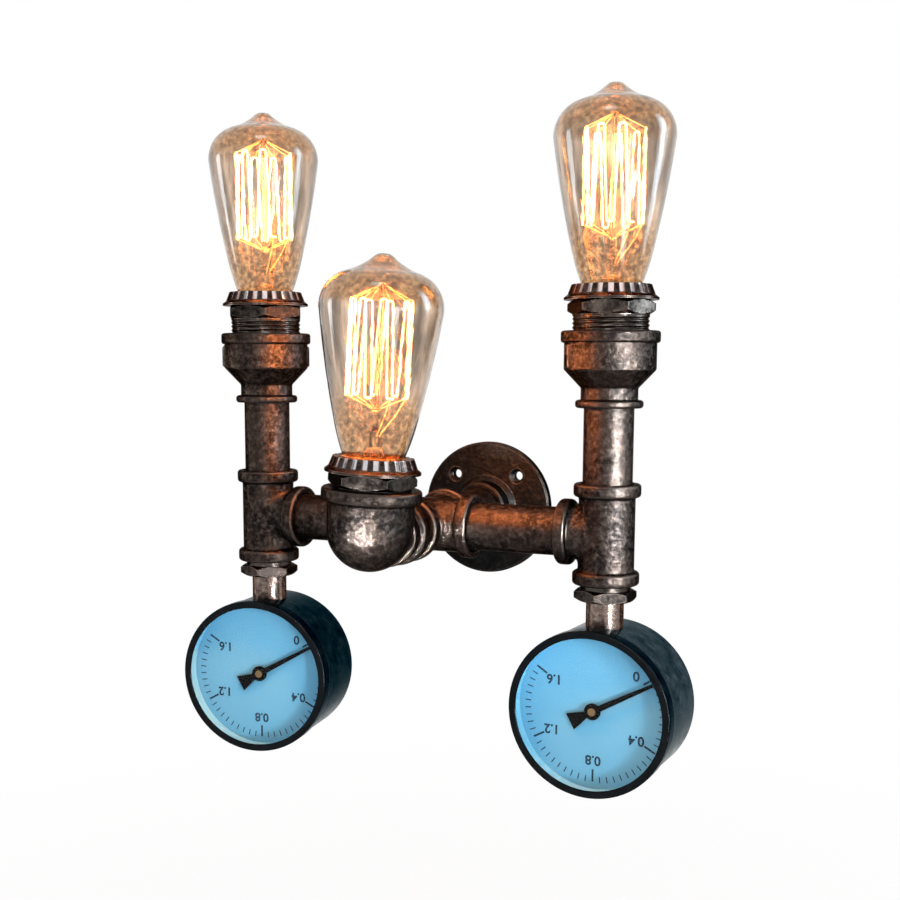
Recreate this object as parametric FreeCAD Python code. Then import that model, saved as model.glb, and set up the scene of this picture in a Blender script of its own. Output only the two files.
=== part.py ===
"""Industrial pipe wall lamp: a wall flange, a cross and three upright bulbs, with two gauges.

Millimetres. The origin is the middle of the flange's back face, on the wall. +Z is up, +Y goes
into the wall and +X is the viewer's right. Both columns stand at the ends of the cross's side
arms, and the front bulb stands on an elbow that leans a little on its nipple.
"""
import FreeCAD
import Part
import math
import os

V = FreeCAD.Vector
UP = V(0, 0, 1)
OUT = V(0, -1, 0)
RIGHT = V(1, 0, 0)
ORIGIN = V(0, 0, 0)

# Lengths of pipe that show between the fittings
WALL_PIPE_SHOWN = 49.0
ARM_PIPE_SHOWN = 50.0
RISER_PIPE_SHOWN = 40.5
FRONT_PIPE_SHOWN = 7.5
ELBOW_LEAN = 3.6
GAUGE_TURN = {"left": 6.5, "right": -4.0}
SIDES = {"left": -1, "right": 1}

# Pipe and pipe sockets
PIPE_R = 13.45
PIPE_WALL = 2.6
THREAD_GAP = 0.05
SOCKET_DEPTH = 12.0
MOUTH_CHAMFER = 0.8

# Cast fittings, with walls measured from the socket
RUN_WALL = 1.8
BRANCH_WALL = 0.9
BAND_WALL = 4.7
BAND_LENGTH = 7.2
BAND_CHAMFER = 1.0
CAST_FILLET = 3.0
TEE_RUN = 27.5
TEE_BRANCH = 26.0
CROSS_REACH = 30.0

# Wall flange
FLANGE_R = 41.9
FLANGE_RIM = 6.5
FLANGE_RISE = 2.0
FLANGE_EDGE = 1.0
HUB_HEIGHT = 20.0
HUB_WALL = 3.5
HUB_DRAFT = 1.0
HUB_FOOT = 3.0
SCREW_CIRCLE_R = 29.5
SCREW_HOLE_R = 2.8
SCREW_SINK_R = 4.8
SCREW_COUNT = 4
WALL_SETBACK = 6.0

# Bulb cap, in heights above the bulb's contact
CAP_R = 13.1
CAP_WALL = 0.5
CAP_START = 6.0
CAP_TAPER = 1.5
CAP_TOP = 27.0
CAP_FLARE = 0.3
CAP_LIP = 1.0
TIP_R = 4.8
TIP_HEIGHT = 1.5
TIP_EDGE = 0.8
INSULATOR_R = 10.5
INSULATOR_LIP = 0.6
INSULATOR_GAP = 0.1

# Bulb glass, with its arcs through points given as shares of its radius and of its height above the neck
BULB_LENGTH = 140.0
BULB_R = 32.0
GLASS_WALL = 0.8
NECK_GAP = 0.2
NECK_SEAL = 20.0
NECK_TOP = 29.0
NIB = (0.05, 0.9946)
CROWN = ((0.2969, 0.9595), (0.5938, 0.9252))
SHOULDER = ((0.9125, 0.8559), (1.0, 0.7523))
FLANK = ((0.8844, 0.5315), (0.675, 0.2342))
THROAT = ((0.55, 0.1081), (0.425, 0.018))

# Glass mount and cage filament inside the bulb
SEAL_Z = 21.0
SEAL_RISE = 3.0
SEAL_LIP = 1.0
STEM_WALL = 0.8
STEM_TAPER = 3.0
PRESS_R = 3.6
PRESS_Z = 50.0
PRESS_LENGTH = 8.0
PRESS_CAP = 2.0
ROD_R = 1.3
BUTTON_R = 2.4
BUTTON_HALF = 1.6
CAGE_R = 16.0
CAGE_TOP_DEPTH = 23.0
CAGE_RISE = 18.0
HOOK_RISE = 7.0
HOOK_DROP = 6.0
STRAND = 0.45
STRAND_COUNT = 14

# Lampholder, in heights above the underside of the hex
SHELL_GAP = 0.4
SHELL_WALL = 0.4
SHELL_DROP = 14.4
HOLDER_WALL = 3.45
HOLDER_FIT = 0.05
HOLDER_DEPTH = 26.0
HOLDER_FLOOR = 3.2
HOLDER_EDGE = 1.0
COLLAR_STEP = 2.2
COLLAR_HEIGHT = 5.8
COLLAR_WALL = 3.2
COLLAR_BORE_DEPTH = 10.0
CONTACT_THICK = 0.6
CONTACT_W = 8.0
CONTACT_REACH = 11.0
CONTACT_TONGUE = 16.0
CONTACT_GAP = 0.3

# Toothed shade ring
RING_GAP = 0.15
RING_WALL = 3.45
RING_HEIGHT = 8.0
RING_LIP = 1.2
RING_LIP_PROUD = 2.0
RING_FLARE = 1.5
RING_TAPER = 2.0
RING_PLATE = 1.7
RING_SHELF = 2.85
TOOTH_COUNT = 24
TOOTH_GAP = 2.8
TOOTH_DEPTH = 1.6

# Hex bushings that carry the lampholders
BUSHING_WALL = 3.05
BUSHING_LENGTH = 20.0
BUSHING_SHOWN = 8.4
FRONT_BUSHING_SHOWN = 0.5
HEX_HEIGHT = 7.7
HEX_PROUD = 0.0
HEX_INSET = 0.4
HEX_BEVEL = 30.0
HEX_TURN = {"left": 30.0, "right": 37.0, "front": 45.0}

# Reducing sockets at the top of the columns
LOW_BAND = 4.2
NECK_HEIGHT = 6.3
CONE_HEIGHT = 9.8
BARREL_HEIGHT = 13.7
BARREL_WALL = 4.05
GROOVE = 0.4
TOP_BAND = 6.4
TOP_BAND_WALL = 5.85
BIG_SOCKET_DEPTH = 12.8
CHAMBER_SIDE = 1.2
CHAMBER_GAP = 1.5
CHAMBER_START = 2.0
RIB_WIDTH = 5.0
RIB_PROUD = 1.5
RIB_SLOPE = 3.0
RIB_AZIMUTH = 47.0

# Front elbow
ELBOW_TOP = 27.3
ELBOW_BALL_Z = 6.0
ELBOW_WALL = 2.25
ELBOW_BAND = 6.9
ELBOW_SIDE_REACH = 38.0
ELBOW_TAPER_START = 10.0
ELBOW_TAPER = 3.3
ELBOW_SOCKET_DEPTH = 20.6

# Gauge bushing and gauge stem
GAUGE_NUT_ACROSS = 30.0
GAUGE_NUT_HEIGHT = 6.3
GAUGE_NUT_GAP = 2.6
GAUGE_BUSHING_DEPTH = 10.0
GAUGE_THREAD_R = 6.6
GAUGE_THREAD_LENGTH = 13.0
GAUGE_STEM_R = 10.3
GAUGE_STEM_ACROSS = 19.4
GAUGE_STEM_SHOWN = 13.0

# Gauge case, with depths taken from the front of its bezel
GAUGE_R = 45.9
GAUGE_FRONT = 25.2
GAUGE_BACK = 25.3
CASE_WALL = 1.2
CASE_EDGE = 3.5
CASE_HOLE_GAP = 0.1
BEZEL_SKIN = 0.85
BEZEL_DEPTH = 9.0
BEZEL_FACE = 4.3
BEZEL_LIP = 1.6
BEZEL_EDGE = 1.6
WINDOW_THICK = 2.0
WINDOW_GAP = 0.1
DIAL_DEPTH = 11.5
DIAL_THICK = 0.8
DIAL_HOLE_R = 2.4

# Gauge pointer, whose reading is its angle above the horizontal on the viewer's right
POINTER_READING = 29.0
POINTER_LIFT = 2.6
POINTER_THICK = 0.6
POINTER_TIP_GAP = 3.6
POINTER_TAIL = 14.5
POINTER_WIDTH = 3.6
POINTER_TIP = 1.8
TAIL_START = 4.0
TAIL_WIDTH = 9.8
HUB_DISC_R = 4.6
HUB_DISC_LIFT = 0.5
HUB_CAP_R = 3.0
HUB_CAP_LIFT = 1.2
HUB_CAP_EDGE = 0.6
HUB_COLLAR_R = 1.8
HUB_COLLAR = 0.8
ARBOR_R = 1.2
ARBOR_CLEARANCE = 0.05
ARBOR_END_GAP = 0.3

# Socket block, Bourdon tube and movement inside the gauge
BLOCK_W = 16.0
BLOCK_D = 12.0
BLOCK_ABOVE_ARBOR = 3.9
COLLAR_IN_CASE = 4.0
BOURDON_INSET = 13.8
BOURDON_THICK = 3.0
BOURDON_W = 8.0
BOURDON_SWEEP = 250.0
MOVEMENT_W = 26.0
MOVEMENT_H = 30.0
MOVEMENT_PLATE = 1.2
PILLAR_R = 1.8
PILLAR_INSET = 3.0

# Radii that follow from the sizes above
SOCKET_R = PIPE_R + THREAD_GAP
PIPE_BORE_R = PIPE_R - PIPE_WALL
BODY_R = SOCKET_R + RUN_WALL
BRANCH_R = SOCKET_R + BRANCH_WALL
BAND_R = SOCKET_R + BAND_WALL
NECK_R = CAP_R - CAP_WALL - NECK_GAP
SHELL_BORE_R = CAP_R + SHELL_GAP
SHELL_R = SHELL_BORE_R + SHELL_WALL
HOLDER_R = SHELL_R + HOLDER_WALL + HOLDER_FIT
COLLAR_R = HOLDER_R + COLLAR_STEP
COLLAR_BORE_R = COLLAR_R - COLLAR_WALL
RING_BORE_R = COLLAR_R + RING_GAP
RING_BASE_R = RING_BORE_R + RING_WALL
BUSHING_BORE_R = HOLDER_R + HOLDER_FIT
BUSHING_R = BUSHING_BORE_R + BUSHING_WALL
HEX_ACROSS = 2 * (BUSHING_R + HEX_PROUD)
BIG_SOCKET_R = BUSHING_R + THREAD_GAP
BARREL_R = BIG_SOCKET_R + BARREL_WALL
TOP_BAND_R = BIG_SOCKET_R + TOP_BAND_WALL
CHAMBER_R = HOLDER_R + CHAMBER_SIDE
ELBOW_BALL_R = BIG_SOCKET_R + ELBOW_WALL
CASE_R = GAUGE_R - BEZEL_SKIN - THREAD_GAP
BEZEL_OPENING_R = GAUGE_R - BEZEL_FACE
BOURDON_R = CASE_R - CASE_WALL - BOURDON_INSET

# Places and heights that follow
STANDOFF = HUB_HEIGHT + WALL_PIPE_SHOWN + CROSS_REACH
COLUMN_X = CROSS_REACH + ARM_PIPE_SHOWN + TEE_BRANCH
ELBOW_REACH = CROSS_REACH + FRONT_PIPE_SHOWN + ELBOW_SIDE_REACH
REDUCER_BASE = TEE_RUN + RISER_PIPE_SHOWN
REDUCER_TOP = REDUCER_BASE + LOW_BAND + NECK_HEIGHT + CONE_HEIGHT + BARREL_HEIGHT + GROOVE + TOP_BAND
COLUMN_HEX_Z = REDUCER_TOP + BUSHING_SHOWN
FRONT_HEX_Z = ELBOW_TOP + FRONT_BUSHING_SHOWN
COLLAR_TOP_Z = HEX_HEIGHT + COLLAR_HEIGHT
COLLAR_LEDGE_Z = COLLAR_TOP_Z - COLLAR_BORE_DEPTH
HOLDER_FLOOR_Z = HOLDER_FLOOR - HOLDER_DEPTH
BULB_FOOT_Z = HOLDER_FLOOR_Z + 2 * CONTACT_THICK + CONTACT_GAP
CAGE_LOW_Z = PRESS_Z + CAGE_RISE
CAGE_HIGH_Z = BULB_LENGTH - CAGE_TOP_DEPTH
LOW_BUTTON_Z = CAGE_LOW_Z - HOOK_DROP
HIGH_BUTTON_Z = CAGE_HIGH_Z + HOOK_RISE
GAUGE_NUT_TOP = -TEE_RUN - GAUGE_NUT_GAP
GAUGE_NUT_LOW = GAUGE_NUT_TOP - GAUGE_NUT_HEIGHT
GAUGE_Z = GAUGE_NUT_LOW - GAUGE_STEM_SHOWN - GAUGE_R


def revolve(profile):
    """Turn a closed outline of (radius, height) points about the Z axis."""
    points = [V(radius, 0, height) for radius, height in profile]
    return Part.Face(Part.makePolygon(points + points[:1])).revolve(ORIGIN, UP, 360)


def rod(radius, low, high):
    return Part.makeCylinder(radius, high - low, V(0, 0, low), UP)


def tube(outer, inner, low, high):
    return revolve([(inner, low), (outer, low), (outer, high), (inner, high)])


def aim(shape, direction):
    """Turn a shape that points up so that it points along direction."""
    placed = shape.copy()
    placed.Placement = FreeCAD.Placement(ORIGIN, FreeCAD.Rotation(UP, direction)).multiply(shape.Placement)
    return placed


def moved(shape, offset):
    placed = shape.copy()
    placed.translate(offset)
    return placed


def turned(shape, axis, degrees, centre=ORIGIN):
    placed = shape.copy()
    placed.rotate(centre, axis, degrees)
    return placed


def fused(shapes):
    """Join shapes into one solid with no seams left between flush faces."""
    return shapes[0].fuse(shapes[1:]).removeSplitter()


def hexagon(across, low, high):
    """Hex head whose corners are turned off at both ends by a cone."""
    corner = across / math.sqrt(3)
    face_r = across / 2 - HEX_INSET
    rise = (corner - face_r) * math.tan(math.radians(HEX_BEVEL))
    angles = [math.radians(60 * k) for k in range(7)]
    points = [V(corner * math.cos(angle), corner * math.sin(angle), low) for angle in angles]
    prism = Part.Face(Part.makePolygon(points)).extrude(V(0, 0, high - low))
    return prism.common(revolve([(0, low), (face_r, low), (corner, low + rise), (corner, high - rise),
                                 (face_r, high), (0, high)]))


def band(radius, end, length):
    """The raised, chamfered bead round the mouth of a cast fitting."""
    start = end - length
    return revolve([(0, start), (radius - BAND_CHAMFER, start), (radius, start + BAND_CHAMFER),
                    (radius, end - BAND_CHAMFER), (radius - BAND_CHAMFER, end), (0, end)])


def socket_void(reach):
    """The space inside one arm of a fitting: passage, threaded socket and chamfered mouth."""
    shoulder = reach - SOCKET_DEPTH
    return revolve([(0, 0), (PIPE_BORE_R, 0), (PIPE_BORE_R, shoulder), (SOCKET_R, shoulder),
                    (SOCKET_R, reach - MOUTH_CHAMFER), (SOCKET_R + MOUTH_CHAMFER, reach), (0, reach)])


def cast_fitting(run_axis, run_reach, branches):
    """Cast body with a straight run, smaller branches filleted into it, and a bead at each mouth."""
    run = aim(rod(BODY_R, -run_reach, run_reach), run_axis)
    body = run.fuse([aim(rod(BRANCH_R, 0, reach), direction) for direction, reach in branches])
    joints = [edge for edge in body.Edges if not isinstance(edge.Curve, (Part.Circle, Part.Line))]
    body = body.makeFillet(CAST_FILLET, joints)
    mouths = [(run_axis, run_reach), (run_axis.negative(), run_reach)] + branches
    body = body.fuse([aim(band(BAND_R, reach, BAND_LENGTH), direction) for direction, reach in mouths])
    return body.cut([aim(socket_void(reach), direction) for direction, reach in mouths]).removeSplitter()


def pipe(start, end):
    """A length of pipe between two points."""
    run = end.sub(start)
    return moved(aim(tube(PIPE_R, PIPE_BORE_R, 0, run.Length), run), start)


def make_flange():
    """Floor flange: a round plate that rises to a threaded hub, with countersunk screw holes."""
    rise = FLANGE_RIM + FLANGE_RISE
    hub_r = SOCKET_R + HUB_WALL
    plate = revolve([(SOCKET_R, 0), (FLANGE_R, 0), (FLANGE_R, FLANGE_RIM - FLANGE_EDGE),
                     (FLANGE_R - FLANGE_EDGE, FLANGE_RIM), (hub_r + HUB_DRAFT + HUB_FOOT, rise),
                     (hub_r + HUB_DRAFT, rise + HUB_FOOT), (hub_r, HUB_HEIGHT - HUB_DRAFT),
                     (hub_r - HUB_DRAFT, HUB_HEIGHT), (SOCKET_R + MOUTH_CHAMFER, HUB_HEIGHT),
                     (SOCKET_R, HUB_HEIGHT - MOUTH_CHAMFER)])
    sink_z = FLANGE_RIM - (SCREW_SINK_R - SCREW_HOLE_R)
    hole = revolve([(0, 0), (SCREW_HOLE_R, 0), (SCREW_HOLE_R, sink_z), (SCREW_SINK_R, FLANGE_RIM),
                    (SCREW_SINK_R, rise), (0, rise)])
    holes = [turned(moved(hole, V(SCREW_CIRCLE_R, 0, 0)), UP, 360 * (k + 0.5) / SCREW_COUNT)
             for k in range(SCREW_COUNT)]
    return aim(plate.cut(holes), OUT)


def make_reducer(side):
    """Bell reducing socket: pipe thread below, a wide barrel with two cast ribs above."""
    foot = REDUCER_BASE
    low_band = foot + LOW_BAND
    neck = low_band + NECK_HEIGHT
    cone = neck + CONE_HEIGHT
    barrel = cone + BARREL_HEIGHT
    top = REDUCER_TOP
    outside = revolve([(0, foot), (BAND_R - BAND_CHAMFER, foot), (BAND_R, foot + BAND_CHAMFER),
                       (BAND_R, low_band - BAND_CHAMFER), (BAND_R - BAND_CHAMFER, low_band),
                       (BODY_R, low_band), (BODY_R, neck), (BARREL_R, cone), (BARREL_R, barrel),
                       (BARREL_R - GROOVE, barrel), (BARREL_R - GROOVE, top), (0, top)])
    rib_r = BARREL_R + RIB_PROUD
    rib = Part.makeBox(rib_r, RIB_WIDTH, barrel - cone + RIB_SLOPE, V(0, -RIB_WIDTH / 2, cone - RIB_SLOPE))
    rib = rib.common(revolve([(0, cone - RIB_SLOPE), (BARREL_R - RIB_SLOPE, cone - RIB_SLOPE),
                              (rib_r, cone + RIB_PROUD), (rib_r, barrel - RIB_PROUD), (BARREL_R, barrel),
                              (0, barrel)]))
    ribs = [turned(rib, UP, -90 - RIB_AZIMUTH + half) for half in (0, 180)]
    shoulder = foot + SOCKET_DEPTH
    ledge = top - BIG_SOCKET_DEPTH
    inside = revolve([(0, foot), (SOCKET_R + MOUTH_CHAMFER, foot), (SOCKET_R, foot + MOUTH_CHAMFER),
                      (SOCKET_R, shoulder), (PIPE_BORE_R, shoulder), (PIPE_BORE_R, shoulder + CHAMBER_START),
                      (CHAMBER_R, COLUMN_HEX_Z - HOLDER_DEPTH - CHAMBER_GAP), (CHAMBER_R, ledge),
                      (BIG_SOCKET_R, ledge), (BIG_SOCKET_R, top - MOUTH_CHAMFER),
                      (BIG_SOCKET_R + MOUTH_CHAMFER, top), (0, top)])
    return moved(fused([outside, band(TOP_BAND_R, top, TOP_BAND)] + ribs).cut(inside), column_place(side))


def make_elbow():
    """Reducing elbow: a round-bottomed upright bell with a smaller tapered inlet at the back."""
    back = V(0, 1, 0)
    ball_centre = V(0, 0, ELBOW_BALL_Z)
    taper_end = ELBOW_SIDE_REACH - BAND_LENGTH
    taper_r = BODY_R + ELBOW_TAPER
    inlet = revolve([(0, 0), (taper_r, 0), (taper_r, ELBOW_TAPER_START), (BODY_R, taper_end),
                     (0, taper_end)])
    outside = rod(ELBOW_BALL_R, ELBOW_BALL_Z, ELBOW_TOP - ELBOW_BAND).fuse([
        Part.makeSphere(ELBOW_BALL_R, ball_centre, UP, -90, 0, 360), aim(inlet, back),
        band(TOP_BAND_R, ELBOW_TOP, ELBOW_BAND), aim(band(BAND_R, ELBOW_SIDE_REACH, BAND_LENGTH), back)])
    ledge = ELBOW_TOP - ELBOW_SOCKET_DEPTH
    hollow = rod(CHAMBER_R, ELBOW_BALL_Z, ELBOW_TOP).fuse([
        Part.makeSphere(CHAMBER_R, ball_centre, UP, -90, 0, 360),
        revolve([(0, ledge), (BIG_SOCKET_R, ledge), (BIG_SOCKET_R, ELBOW_TOP - MOUTH_CHAMFER),
                 (BIG_SOCKET_R + MOUTH_CHAMFER, ELBOW_TOP), (0, ELBOW_TOP)]),
        aim(socket_void(ELBOW_SIDE_REACH), back)])
    return front_place(outside.cut(hollow).removeSplitter())


def make_bushing(name):
    """Hex reducing bushing, bored out to hold the lampholder."""
    thread = rod(BUSHING_R, -BUSHING_LENGTH, 0)
    head = turned(hexagon(HEX_ACROSS, 0, HEX_HEIGHT), UP, HEX_TURN[name])
    return head.fuse(thread).cut(rod(BUSHING_BORE_R, -BUSHING_LENGTH, HEX_HEIGHT))


def make_holder():
    """Porcelain lampholder: a cup in the bushing and a threaded collar above the hex."""
    cup = revolve([(0, -HOLDER_DEPTH), (HOLDER_R - HOLDER_EDGE, -HOLDER_DEPTH),
                   (HOLDER_R, HOLDER_EDGE - HOLDER_DEPTH), (HOLDER_R, HEX_HEIGHT), (COLLAR_R, HEX_HEIGHT),
                   (COLLAR_R, COLLAR_TOP_Z), (0, COLLAR_TOP_Z)])
    seat_r = SHELL_R + HOLDER_FIT
    bore = revolve([(0, HOLDER_FLOOR_Z), (SHELL_BORE_R, HOLDER_FLOOR_Z), (SHELL_BORE_R, -SHELL_DROP),
                    (seat_r, -SHELL_DROP), (seat_r, COLLAR_LEDGE_Z), (COLLAR_BORE_R, COLLAR_LEDGE_Z),
                    (COLLAR_BORE_R, COLLAR_TOP_Z), (0, COLLAR_TOP_Z)])
    return cup.cut(bore)


def make_screw_shell():
    """Thin brass shell that the bulb's cap screws into."""
    return tube(SHELL_R, SHELL_BORE_R, -SHELL_DROP, COLLAR_LEDGE_Z)


def make_centre_contact():
    """Sprung centre contact: a foot on the floor and a raised tongue under the bulb."""
    side = -CONTACT_W / 2
    foot = Part.makeBox(CONTACT_REACH, CONTACT_W, CONTACT_THICK, V(-CONTACT_REACH, side, HOLDER_FLOOR_Z))
    tongue = Part.makeBox(CONTACT_TONGUE, CONTACT_W, CONTACT_THICK,
                          V(-CONTACT_REACH, side, HOLDER_FLOOR_Z + CONTACT_THICK))
    return fused([foot, tongue])


def make_shade_ring():
    """Toothed shade ring: a flared lip, a conical wall cut into teeth, and a flat top plate."""
    low = HEX_HEIGHT
    high = low + RING_HEIGHT
    foot = low + RING_LIP + RING_FLARE
    lip_r = RING_BASE_R + RING_LIP_PROUD
    outside = revolve([(0, low), (lip_r, low), (lip_r, low + RING_LIP), (RING_BASE_R, foot),
                       (RING_BASE_R - RING_TAPER, high), (0, high)])
    shelf = high - RING_PLATE
    hole_r = RING_BORE_R - RING_SHELF
    inside = revolve([(0, low), (RING_BORE_R, low), (RING_BORE_R, shelf), (hole_r, shelf), (hole_r, high),
                      (0, high)])
    slope = math.degrees(math.atan(RING_TAPER / (high - foot)))
    cutter = Part.makeBox(RING_BASE_R, TOOTH_GAP, 2 * RING_HEIGHT, V(0, -TOOTH_GAP / 2, 0))
    cutter = moved(turned(cutter, V(0, 1, 0), -slope), V(RING_BASE_R - TOOTH_DEPTH, 0, foot))
    return outside.cut([inside] + [turned(cutter, UP, 360 * k / TOOTH_COUNT) for k in range(TOOTH_COUNT)])


def make_bulb_glass():
    """Thin pear-shaped envelope, open at the neck: throat, flank, shoulder and crown are arcs."""
    def at(point):
        return V(point[0] * BULB_R, 0, NECK_TOP + point[1] * (BULB_LENGTH - NECK_TOP))
    base = V(0, 0, NECK_SEAL)
    tip = V(0, 0, BULB_LENGTH)
    corners = [base, V(NECK_R, 0, NECK_SEAL), V(NECK_R, 0, NECK_TOP), at(THROAT[1])]
    edges = [Part.LineSegment(a, b).toShape() for a, b in zip(corners, corners[1:])]
    for start, middle, end in ((THROAT[1], THROAT[0], FLANK[1]), (FLANK[1], FLANK[0], SHOULDER[1]),
                               (SHOULDER[1], SHOULDER[0], CROWN[1]), (CROWN[1], CROWN[0], NIB)):
        edges.append(Part.Arc(at(start), at(middle), at(end)).toShape())
    edges.append(Part.LineSegment(at(NIB), tip).toShape())
    edges.append(Part.LineSegment(tip, base).toShape())
    body = Part.Face(Part.Wire(edges)).revolve(ORIGIN, UP, 360)
    mouth = [face for face in body.Faces if face.BoundBox.ZMax < (NECK_SEAL + NECK_TOP) / 2]
    return body.makeThickness(mouth, -GLASS_WALL, 0.001)


def make_bulb_cap():
    """Brass screw cap: a thin shell that narrows at the bottom and grips the neck at the top."""
    inner = CAP_R - CAP_WALL
    mouth = INSULATOR_R + INSULATOR_GAP
    lip_r = CAP_R + CAP_FLARE
    lip_z = CAP_TOP - CAP_LIP
    return revolve([(mouth, CAP_START), (CAP_R, CAP_START + CAP_TAPER), (CAP_R, lip_z - CAP_FLARE),
                    (lip_r, lip_z), (lip_r, CAP_TOP), (inner, CAP_TOP),
                    (inner, CAP_START + CAP_TAPER + CAP_WALL), (mouth, CAP_START + INSULATOR_LIP)])


def make_bulb_contact():
    """Black glass insulator that closes the cap, with the centre contact under it."""
    top = CAP_START + INSULATOR_LIP
    return revolve([(0, 0), (TIP_R - TIP_EDGE, 0), (TIP_R, TIP_EDGE), (TIP_R, TIP_HEIGHT),
                    (INSULATOR_R, CAP_START), (INSULATOR_R, top), (0, top)])


def make_bulb_stem():
    """Glass mount: a flared tube sealed in the neck, a pressed waist and a rod with two buttons."""
    seal_r = NECK_R - GLASS_WALL
    tube_r = PRESS_R + STEM_TAPER
    waist = PRESS_Z - PRESS_LENGTH
    flare = SEAL_Z + SEAL_RISE
    outline = [(0, waist), (PRESS_R - STEM_WALL, waist), (tube_r - STEM_WALL, waist - STEM_TAPER),
               (tube_r - STEM_WALL, flare), (seal_r, SEAL_Z), (seal_r, SEAL_Z + SEAL_LIP),
               (tube_r, flare + SEAL_LIP), (tube_r, waist - STEM_TAPER), (PRESS_R, waist),
               (PRESS_R, PRESS_Z), (ROD_R, PRESS_Z + PRESS_CAP)]
    for height in (LOW_BUTTON_Z, HIGH_BUTTON_Z):
        outline += [(ROD_R, height - BUTTON_HALF), (BUTTON_R, height - BUTTON_HALF / 2),
                    (BUTTON_R, height + BUTTON_HALF / 2), (ROD_R, height + BUTTON_HALF)]
    return revolve(outline + [(0, HIGH_BUTTON_Z + BUTTON_HALF)])


def wire(start, end):
    """A straight four-sided wire that runs half its own thickness past both points."""
    run = end.sub(start)
    half = STRAND / 2
    bar = Part.makeBox(STRAND, STRAND, run.Length + STRAND, V(-half, -half, -half))
    return moved(aim(bar, run), start)


def make_filament():
    """Cage filament: strands zigzag over hooks that spread from the rod's buttons, and two leads."""
    def at(radius, step, height):
        angle = 2 * math.pi * step / STRAND_COUNT
        return V(radius * math.cos(angle), radius * math.sin(angle), height)
    anchors = []
    wires = []
    for k in range(STRAND_COUNT - 1):
        cage_z, hub_z = (CAGE_HIGH_Z, HIGH_BUTTON_Z) if k % 2 else (CAGE_LOW_Z, LOW_BUTTON_Z)
        anchors.append(at(CAGE_R, k, cage_z))
        wires.append(wire(at(BUTTON_R + STRAND, k, hub_z), anchors[-1]))
    wires += [wire(a, b) for a, b in zip(anchors, anchors[1:])]
    wires += [wire(at(PRESS_R + STRAND, k, PRESS_Z), anchors[k]) for k in (0, STRAND_COUNT - 2)]
    return wires[0].fuse(wires[1:])


def column_place(side):
    return V(SIDES[side] * COLUMN_X, -STANDOFF, 0)


def front_place(shape):
    """Lean a shape with the front elbow and move it to the elbow's upright axis."""
    return moved(turned(shape, V(0, 1, 0), ELBOW_LEAN), V(0, -STANDOFF - ELBOW_REACH, 0))


def lamp_place(shape, name, lift=0):
    """Place a shape of the lampholder or bulb, given from the underside of the hex head."""
    if name == "front":
        return front_place(moved(shape, V(0, 0, FRONT_HEX_Z + lift)))
    return moved(shape, column_place(name).add(V(0, 0, COLUMN_HEX_Z + lift)))


def gauge_place(shape, side):
    return moved(turned(shape, UP, GAUGE_TURN[side]), column_place(side))


def make_gauge_bushing():
    """Hex bushing screwed up into the tee, bored for the gauge's thread."""
    head = turned(hexagon(GAUGE_NUT_ACROSS, GAUGE_NUT_LOW, GAUGE_NUT_TOP), UP, 30)
    spigot = rod(PIPE_R, GAUGE_NUT_TOP, -TEE_RUN + GAUGE_BUSHING_DEPTH)
    return head.fuse(spigot).cut(rod(GAUGE_THREAD_R + THREAD_GAP, GAUGE_NUT_LOW, 0))


def make_gauge_socket():
    """Gauge stem: thread, flatted collar, and the block in the case with its C-shaped Bourdon tube."""
    block_low = GAUGE_Z + BLOCK_ABOVE_ARBOR
    collar_low = GAUGE_Z + CASE_R - COLLAR_IN_CASE
    thread = rod(GAUGE_THREAD_R, GAUGE_NUT_LOW, GAUGE_NUT_LOW + GAUGE_THREAD_LENGTH)
    flats = Part.makeBox(GAUGE_STEM_ACROSS, GAUGE_STEM_ACROSS, GAUGE_NUT_LOW - collar_low,
                         V(-GAUGE_STEM_ACROSS / 2, -GAUGE_STEM_ACROSS / 2, collar_low))
    collar = rod(GAUGE_STEM_R, collar_low, GAUGE_NUT_LOW).common(flats)
    block = Part.makeBox(BLOCK_W, BLOCK_D, collar_low - block_low, V(-BLOCK_W / 2, -BLOCK_D / 2, block_low))
    corner = V(0, BOURDON_W / 2, BOURDON_R - BOURDON_THICK / 2)
    section = Part.makePlane(BOURDON_THICK, BOURDON_W, corner, RIGHT, UP)
    bourdon = moved(section.revolve(ORIGIN, V(0, 1, 0), BOURDON_SWEEP), V(0, 0, GAUGE_Z))
    return fused([thread, collar, block, bourdon])


def facing(profile):
    """Turn an outline of (radius, depth behind the gauge's front) about the gauge's own axis."""
    round_z = revolve([(radius, GAUGE_FRONT - depth) for radius, depth in profile])
    return moved(aim(round_z, OUT), V(0, 0, GAUGE_Z))


def make_gauge_case():
    """Deep drawn steel case: a round cup with a soft back edge and a hole for the stem."""
    depth = GAUGE_FRONT + GAUGE_BACK
    start = BEZEL_LIP + WINDOW_THICK + 2 * WINDOW_GAP
    lay = CASE_EDGE * (1 - math.sqrt(0.5))
    inner = CASE_R - CASE_WALL
    floor = depth - CASE_WALL
    cup = facing([(0, depth), (CASE_R - CASE_EDGE, depth), (CASE_R - lay, depth - lay),
                  (CASE_R, depth - CASE_EDGE), (CASE_R, start), (inner, start), (inner, depth - CASE_EDGE),
                  (inner - lay, floor - lay), (CASE_R - CASE_EDGE, floor), (0, floor)])
    return cup.cut(rod(GAUGE_STEM_R + CASE_HOLE_GAP, GAUGE_Z, GAUGE_Z + GAUGE_R))


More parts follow.
